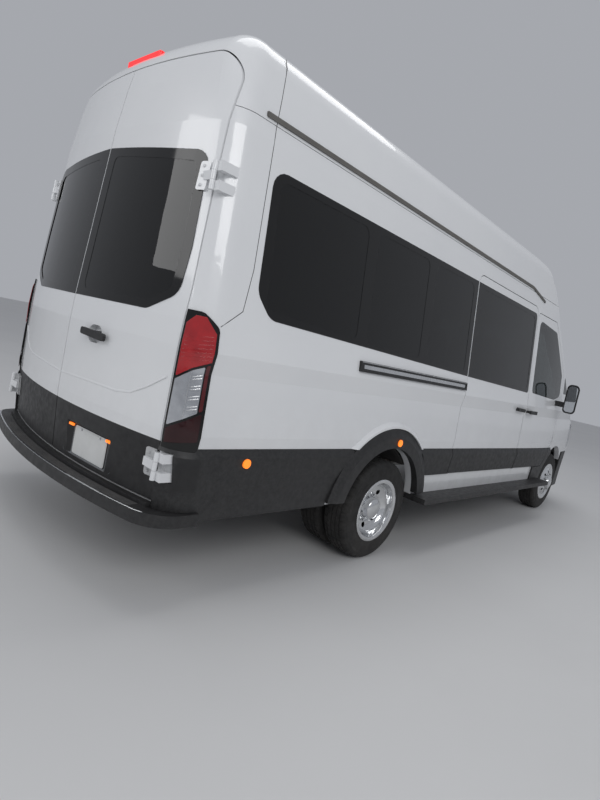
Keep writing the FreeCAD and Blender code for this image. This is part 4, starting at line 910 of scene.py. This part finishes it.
# Distances of the ribs inside the rim
TREAD_LINES = [0.024 + 0.011 * index for index in range(5)]
STRIP_LINE = 0.008
TREAD_HALF, STRIP_HALF = 0.86, 0.955
RIB = [(-0.003, -0.0005), (-0.0022, 0.0022), (0.0022, 0.0022), (0.003, -0.0005)]
ribs = [swept(step_path(inward, TREAD_HALF), RIB) for inward in TREAD_LINES]
add_piece("step_ribs", merged(ribs), step_rubber, "root")
EDGE = [(-0.0045, -0.0005), (-0.0035, 0.0018), (0.0035, 0.0018), (0.0045, -0.0005)]
add_piece("step_edge_strip", swept(step_path(STRIP_LINE, STRIP_HALF), EDGE), bright_metal, "root")


# Rail of the sliding door, and its bright lines

RAIL_FACE = 0.0165
CHANNEL_FACE, CHANNEL_BACK = 0.010, 0.0085
CHANNEL = boxed(-1.928, -0.532, 1.299, 1.323, 0.002, 0.002)
skin_line("rail_top_line", ((-1.955, 1.3385), (-0.520, 1.3385)), on_side, RIGHTWARD, low_arch(0.005, 0.0015),
          bright_metal, "root", lift=RAIL_FACE)
channel_sheet = skin_sheet([CHANNEL], on_side, CHANNEL_FACE, -CHANNEL_BACK)
add_piece("rail_channel", channel_sheet, bright_metal, "root")


# Wheels. A tyre with cut tread, a pierced chrome cover with its hub cap, and wheel nuts.

AXLE_LEVEL = 0.350
FRONT_AXLE = 2.329
REAR_AXLE = -1.421
FRONT_MIDDLE = 0.866
TWIN_MIDDLES = (0.710, 0.935)
TYRE_HALF = 0.0975
TYRE_SEGMENTS = 216
BLOCK_SEGMENTS = 6
# Columns: radius, distance from the tyre's middle.
TYRE_SIDE = ((0.207, 0.0895), (0.212, 0.0935), (0.222, 0.0945), (0.226, 0.0935), (0.245, 0.0965),
             (0.262, 0.0972), (0.264, 0.0963), (0.287, 0.097), (0.289, 0.096), (0.306, 0.0945),
             (0.3085, 0.0955), (0.316, 0.094), (0.318, 0.0922), (0.332, 0.0895), (0.3385, 0.085),
             (0.345, 0.0775), (0.348, 0.068), (0.3495, 0.060), (0.3497, 0.056), (0.3425, 0.0542),
             (0.3425, 0.0498), (0.3498, 0.048), (0.350, 0.0215), (0.3425, 0.0195), (0.3425, 0.015),
             (0.350, 0.013))
# Cuts across the shoulder blocks, and half way between them across the middle ones
SHOULDER_RADIUS, SHOULDER_EDGE, SHOULDER_CUT, SHOULDER_BEAT = 0.335, 0.0555, 0.007, 0
MIDDLE_RADIUS, MIDDLE_EDGE, MIDDLE_CUT, MIDDLE_BEAT = 0.349, 0.05, 0.004, 3


def tyre():
    """A tyre about the Y axis, its tread cut into blocks."""
    profile = [(radius, -along) for radius, along in TYRE_SIDE] + list(reversed(TYRE_SIDE))
    rings = []
    for index in range(TYRE_SEGMENTS):
        angle = 2 * math.pi * index / TYRE_SEGMENTS
        beat = index % BLOCK_SEGMENTS
        ring = []
        for radius, along in profile:
            if radius > SHOULDER_RADIUS and abs(along) > SHOULDER_EDGE and beat == SHOULDER_BEAT:
                radius -= SHOULDER_CUT
            elif radius > MIDDLE_RADIUS and abs(along) < MIDDLE_EDGE and beat == MIDDLE_BEAT:
                radius -= MIDDLE_CUT
            ring.append((radius * math.cos(angle), along, radius * math.sin(angle)))
        rings.append(ring)
    return stitched(rings)


COVER_SEGMENTS = 160
COVER_THICK = 0.0015


def pierced(profile, spots, hole):
    """A turned skin with round holes. The vertices round a hole are drawn onto its circle."""
    made = turned(profile, COVER_SEGMENTS, whole=False)
    doomed = []
    for face in made.faces:
        centre = face.calc_center_median()
        if any(math.hypot(centre.x - x, centre.z - z) < hole for x, z in spots):
            doomed.append(face)
    bmesh.ops.delete(made, geom=doomed, context="FACES")
    for vert in made.verts:
        if not vert.is_boundary:
            continue
        for x, z in spots:
            arm = Vector((vert.co.x - x, vert.co.z - z))
            if arm.length < hole * 1.5:
                arm = arm.normalized() * hole
                vert.co.x, vert.co.z = x + arm.x, z + arm.y
    bmesh.ops.solidify(made, geom=made.faces[:], thickness=COVER_THICK)
    bmesh.ops.recalc_face_normals(made, faces=made.faces[:])
    return made


# Columns: radius, distance outside the tyre's outer face.
REAR_COVER = ((0.2185, 0.0012), (0.215, 0.003), (0.208, 0.003), (0.194, -0.004), (0.19, -0.012),
              (0.186, -0.04), (0.178, -0.062), (0.164, -0.074), (0.156, -0.079), (0.149, -0.0815),
              (0.142, -0.0835), (0.135, -0.085), (0.128, -0.0862), (0.121, -0.0872), (0.114, -0.088),
              (0.107, -0.088), (0.09, -0.086), (0.082, -0.083), (0.078, -0.074), (0.074, -0.03),
              (0.07, -0.023), (0.056, -0.016), (0.03, -0.011), (0.0004, -0.0095))
FRONT_COVER = ((0.2185, 0.0012), (0.215, 0.003), (0.208, 0.003), (0.196, -0.003), (0.188, -0.008),
               (0.178, -0.009), (0.166, -0.006), (0.156, -0.002), (0.148, 0.002), (0.141, 0.0055),
               (0.134, 0.0085), (0.127, 0.011), (0.12, 0.013), (0.113, 0.015), (0.106, 0.0165),
               (0.098, 0.0175), (0.086, 0.018), (0.08, 0.02), (0.076, 0.026), (0.073, 0.046),
               (0.069, 0.052), (0.056, 0.057), (0.03, 0.06), (0.0004, 0.061))
HAND_HOLES = 8
NUT_CIRCLE = 0.095
NUT_RADIUS, NUT_TALL = 0.0105, 0.024
# Rows: end, axle, middle of the outer tyre, cover, circle and radius of the hand holes, level of the nuts.
WHEELS = (("front", FRONT_AXLE, FRONT_MIDDLE, FRONT_COVER, 0.125, 0.016, 0.0175),
          ("rear", REAR_AXLE, TWIN_MIDDLES[1], REAR_COVER, 0.135, 0.019, -0.0868))


def hub_places(radius, shift=0.0):
    """Places round a hub, one for each hand hole, turned on by a share of their spacing."""
    angles = [2 * math.pi * (index + shift) / HAND_HOLES for index in range(HAND_HOLES)]
    return [(radius * math.cos(angle), radius * math.sin(angle)) for angle in angles]


def add_wheel(side, mirror, end, axle, middle, cover, hole_circle, hole, nut_level):
    body = f"{end}_wheel_{side}"
    label = f"{end}_{side}"
    hub = Vector((axle, -(middle + TYRE_HALF), AXLE_LEVEL))
    made = pierced([(radius, -along) for radius, along in cover], hub_places(hole_circle), hole)
    add_piece("wheel_cover_" + label, moved(made, hub), chrome, body, mirror)
    nuts = []
    for x, z in hub_places(NUT_CIRCLE, 0.5):
        spot = hub + Vector((x, -nut_level, z))
        nuts.append(moved(bolt(NUT_RADIUS, NUT_TALL), matrix=facing(RIGHTWARD, spot)))
    add_piece("wheel_nuts_" + label, merged(nuts), chrome, body, mirror)


for side, mirror in SIDES:
    front_tyre = moved(tyre(), (FRONT_AXLE, -FRONT_MIDDLE, AXLE_LEVEL))
    piece = add_piece("treaded_front_tyre_" + side, front_tyre, tyre_rubber, "front_wheel_" + side,
                      mirror)
    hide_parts("front_tyre_" + side)
    twins = merged([moved(tyre(), (REAR_AXLE, -middle, AXLE_LEVEL)) for middle in TWIN_MIDDLES])
    piece = add_piece("treaded_rear_tyres_" + side, twins, tyre_rubber, "rear_wheel_" + side,
                      mirror)
    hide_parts("rear_tyres_" + side)
    for wheel in WHEELS:
        add_wheel(side, mirror, *wheel)


# Seats. Each cushion, back and head rest is a crowned, closed form with sewn channels.

SEAT_LEVEL = 1.030
SEAT_HALF = 0.213
CAB_PLACES = ((1.130, 0.430), (1.130, -0.430))
PASSENGER_PLACES = [(x, y) for x in (0.180, -0.640, -1.460) for y in (0.650, 0.205, -0.640)]
PASSENGER_PLACES += [(-2.290, y) for y in (0.660, 0.220, -0.220, -0.660)]
SEAM_AT = 0.62
SEAM_WIDE = 0.055
# Rows: part, half size, crown, depth of the seams, middle (ahead, up), tilt in degrees.
SEAT_PARTS = (
    ("cushion", (0.232, SEAT_HALF, 0.058), 0.22, 0.16, (0.236, 0.061), 0.0),
    ("back", (0.292, SEAT_HALF, 0.045), 0.22, 0.16, (-0.003, 0.406), -97.8),
    ("head_rest", (0.078, 0.118, 0.041), 0.25, 0.0, (-0.050, 0.780), -95.5),
)
SEAT_CUTS = 13
SEAT_POWER = 5.0
SEAT_TUCK = 0.03


def padded_form(half, crown, seam_depth):
    """A stuffed block about its middle. Its faces swell, and its sides pull in between the corners."""
    made = bmesh.new()
    bmesh.ops.create_cube(made, size=2)
    bmesh.ops.subdivide_edges(made, edges=made.edges[:], cuts=SEAT_CUTS, use_grid_fill=True)
    for vert in made.verts:
        x, y, z = vert.co
        spread = sum(abs(value) ** SEAT_POWER for value in (x, y, z)) ** (-1 / SEAT_POWER)
        swell = (1 - x * x) * (1 - y * y)
        groove = math.exp(-((abs(y) - SEAM_AT) / SEAM_WIDE) ** 2) if abs(z) > 0.99 else 0.0
        tuck = 1 - SEAT_TUCK * (1 - z * z)
        rise = z * spread * (1 - crown) + crown * swell * z - seam_depth * groove * z
        vert.co = Vector((x * spread * half[0] * tuck, y * spread * half[1] * tuck, rise * half[2]))
    return made


def add_seat(label, node, along, across):
    for part, half, crown, seam_depth, (ahead, up), tilt in SEAT_PARTS:
        place = (along + ahead, across, SEAT_LEVEL + up)
        turn = Matrix.Rotation(math.radians(tilt), 4, "Y")
        made = moved(padded_form(half, crown, seam_depth), place, turn)
        piece = add_piece(f"{label}_{part}", made, seat_cloth, "root", sharp=60)
        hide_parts(node)


for index, (along, across) in enumerate(CAB_PLACES):
    add_seat(f"cab_seat_{index}", "cab_seats", along, across)
for index, (along, across) in enumerate(PASSENGER_PLACES):
    add_seat(f"seat_{index}", "passenger_seats", along, across)


# Mirror glasses, windscreen wipers and the insides of the headlamps

MIRROR_GLASS = ((-1.222, 1.252, 0.03), (-1.120, 1.252, 0.03), (-1.120, 1.543, 0.04), (-1.222, 1.543, 0.04))
MIRROR_FRONT, MIRROR_BACK = 1.7885, 1.7898
REFLECTOR_SPOT, REFLECTOR_DEPTH = (-0.690, 0.920), 0.100
REFLECTOR = ((0.004, 0.0), (0.030, 0.006), (0.055, 0.020), (0.072, 0.042), (0.074, 0.042), (0.057, 0.018),
             (0.031, 0.004), (0.004, -0.002))
for side, mirror in SIDES:
    flat = filled([rounded(MIRROR_GLASS)], WHOLE)
    glass = thickened(flat, lambda p: Vector((MIRROR_FRONT, p.x, p.y)),
                      lambda p: Vector((MIRROR_BACK, p.x, p.y)))
    add_piece("mirror_glass_" + side, glass, mirror_face, "front_door_" + side, mirror)
    spot = on_nose(-REFLECTOR_DEPTH)(Vector(REFLECTOR_SPOT))
    turn = Matrix.Rotation(math.radians(-90), 4, "Z")
    add_piece("headlamp_reflector_" + side, moved(turned(REFLECTOR, 48), spot, turn), lamp_silver, "root",
              mirror)

# Sections of a wiper's blade and arm
BLADE = ((-0.004, -0.008), (-0.006, 0.004), (0.006, 0.004), (0.004, -0.008))
ARM = ((-0.005, -0.003), (-0.005, 0.003), (0.005, 0.003), (0.005, -0.003))
for label, start, end in (("right", -0.62, -0.06), ("left", 0.10, 0.66)):
    path = traced(((start, 1.395), (end, 1.372)), on_nose(0.012), 0.03)
    blade = swept(path, BLADE, AHEAD)
    reach = (start + end) / 2
    arm_path = traced(((reach, 1.385), (reach - 0.16, 1.335)), on_nose(0.022), 0.03)
    arm = swept(arm_path, ARM, AHEAD)
    add_piece("wiper_" + label, merged([blade, arm]), black_plastic, "root")


# Stage, lights and camera

FLOOR_HALF = 40.0
SKY_COLOUR = (0.9, 0.93, 1.0, 1.0)
SKY_STRENGTH = 0.42
# Rows: name, place, aim, size, power.
LIGHTS = (
    ("key", (-6, -9, 7), (0, 0, 1.2), (7, 4), 330),
    ("rear_fill", (-11, 3, 5), (-3, 0, 1.3), (6, 4), 160),
    ("overhead", (0, 0, 9), (0, 0, 0), (10, 4), 200),
)


def add_stage():
    floor_mesh = bpy.data.meshes.new("floor")
    corners = [(x * FLOOR_HALF, y * FLOOR_HALF, 0) for x, y in ((-1, -1), (1, -1), (1, 1), (-1, 1))]
    floor_mesh.from_pydata(corners, [], [(0, 1, 2, 3)])
    floor = linked("floor", floor_mesh)
    finish = Finish("pale_floor", (0.62, 0.62, 0.62), 0.65).tone((0.58, 0.58, 0.58), 0.6, 0.6)
    floor_mesh.materials.append(finish.material)


def add_area(name, place, aim, size, power):
    light = bpy.data.lights.new(name, "AREA")
    light.shape = "RECTANGLE"
    light.size, light.size_y = size
    light.energy = power
    obj = linked(name, light)
    obj.location = place
    obj.rotation_euler = (Vector(aim) - Vector(place)).to_track_quat("-Z", "Y").to_euler()


def add_world():
    world = bpy.data.worlds.new("studio")
    bpy.context.scene.world = world
    world.use_nodes = True
    background = world.node_tree.nodes["Background"]
    background.inputs["Color"].default_value = SKY_COLOUR
    background.inputs["Strength"].default_value = SKY_STRENGTH


# The camera stands at the right rear corner and is rolled, as in the photo.
EYE = Vector((-4.512, -2.942, 1.368))
YAW, PITCH, ROLL = 41.62, -4.41, 12.3
FOCAL_PX = 525.7
CENTRE_PX = (11.3, -13.0)
FRAME_HIGH_PX = 800
SENSOR = 36.0


def add_camera():
    yaw, pitch, roll = (math.radians(angle) for angle in (YAW, PITCH, ROLL))
    forward = Vector((math.cos(pitch) * math.cos(yaw), math.cos(pitch) * math.sin(yaw), math.sin(pitch)))
    level_right = forward.cross(UPRIGHT).normalized()
    level_up = level_right.cross(forward)
    right = math.cos(roll) * level_right + math.sin(roll) * level_up
    up = -math.sin(roll) * level_right + math.cos(roll) * level_up
    camera = bpy.data.cameras.new("camera")
    camera.sensor_width = SENSOR
    camera.lens = FOCAL_PX / FRAME_HIGH_PX * SENSOR
    camera.shift_x = -CENTRE_PX[0] / FRAME_HIGH_PX
    camera.shift_y = CENTRE_PX[1] / FRAME_HIGH_PX
    camera.clip_start, camera.clip_end = 0.05, 200
    obj = linked("camera", camera)
    turn = Matrix((right, up, -forward)).transposed()
    obj.matrix_world = Matrix.Translation(EYE) @ turn.to_4x4()
    bpy.context.scene.camera = obj


add_stage()
add_world()
for light in LIGHTS:
    add_area(*light)
add_camera()
bpy.context.scene.view_settings.view_transform = "Standard"
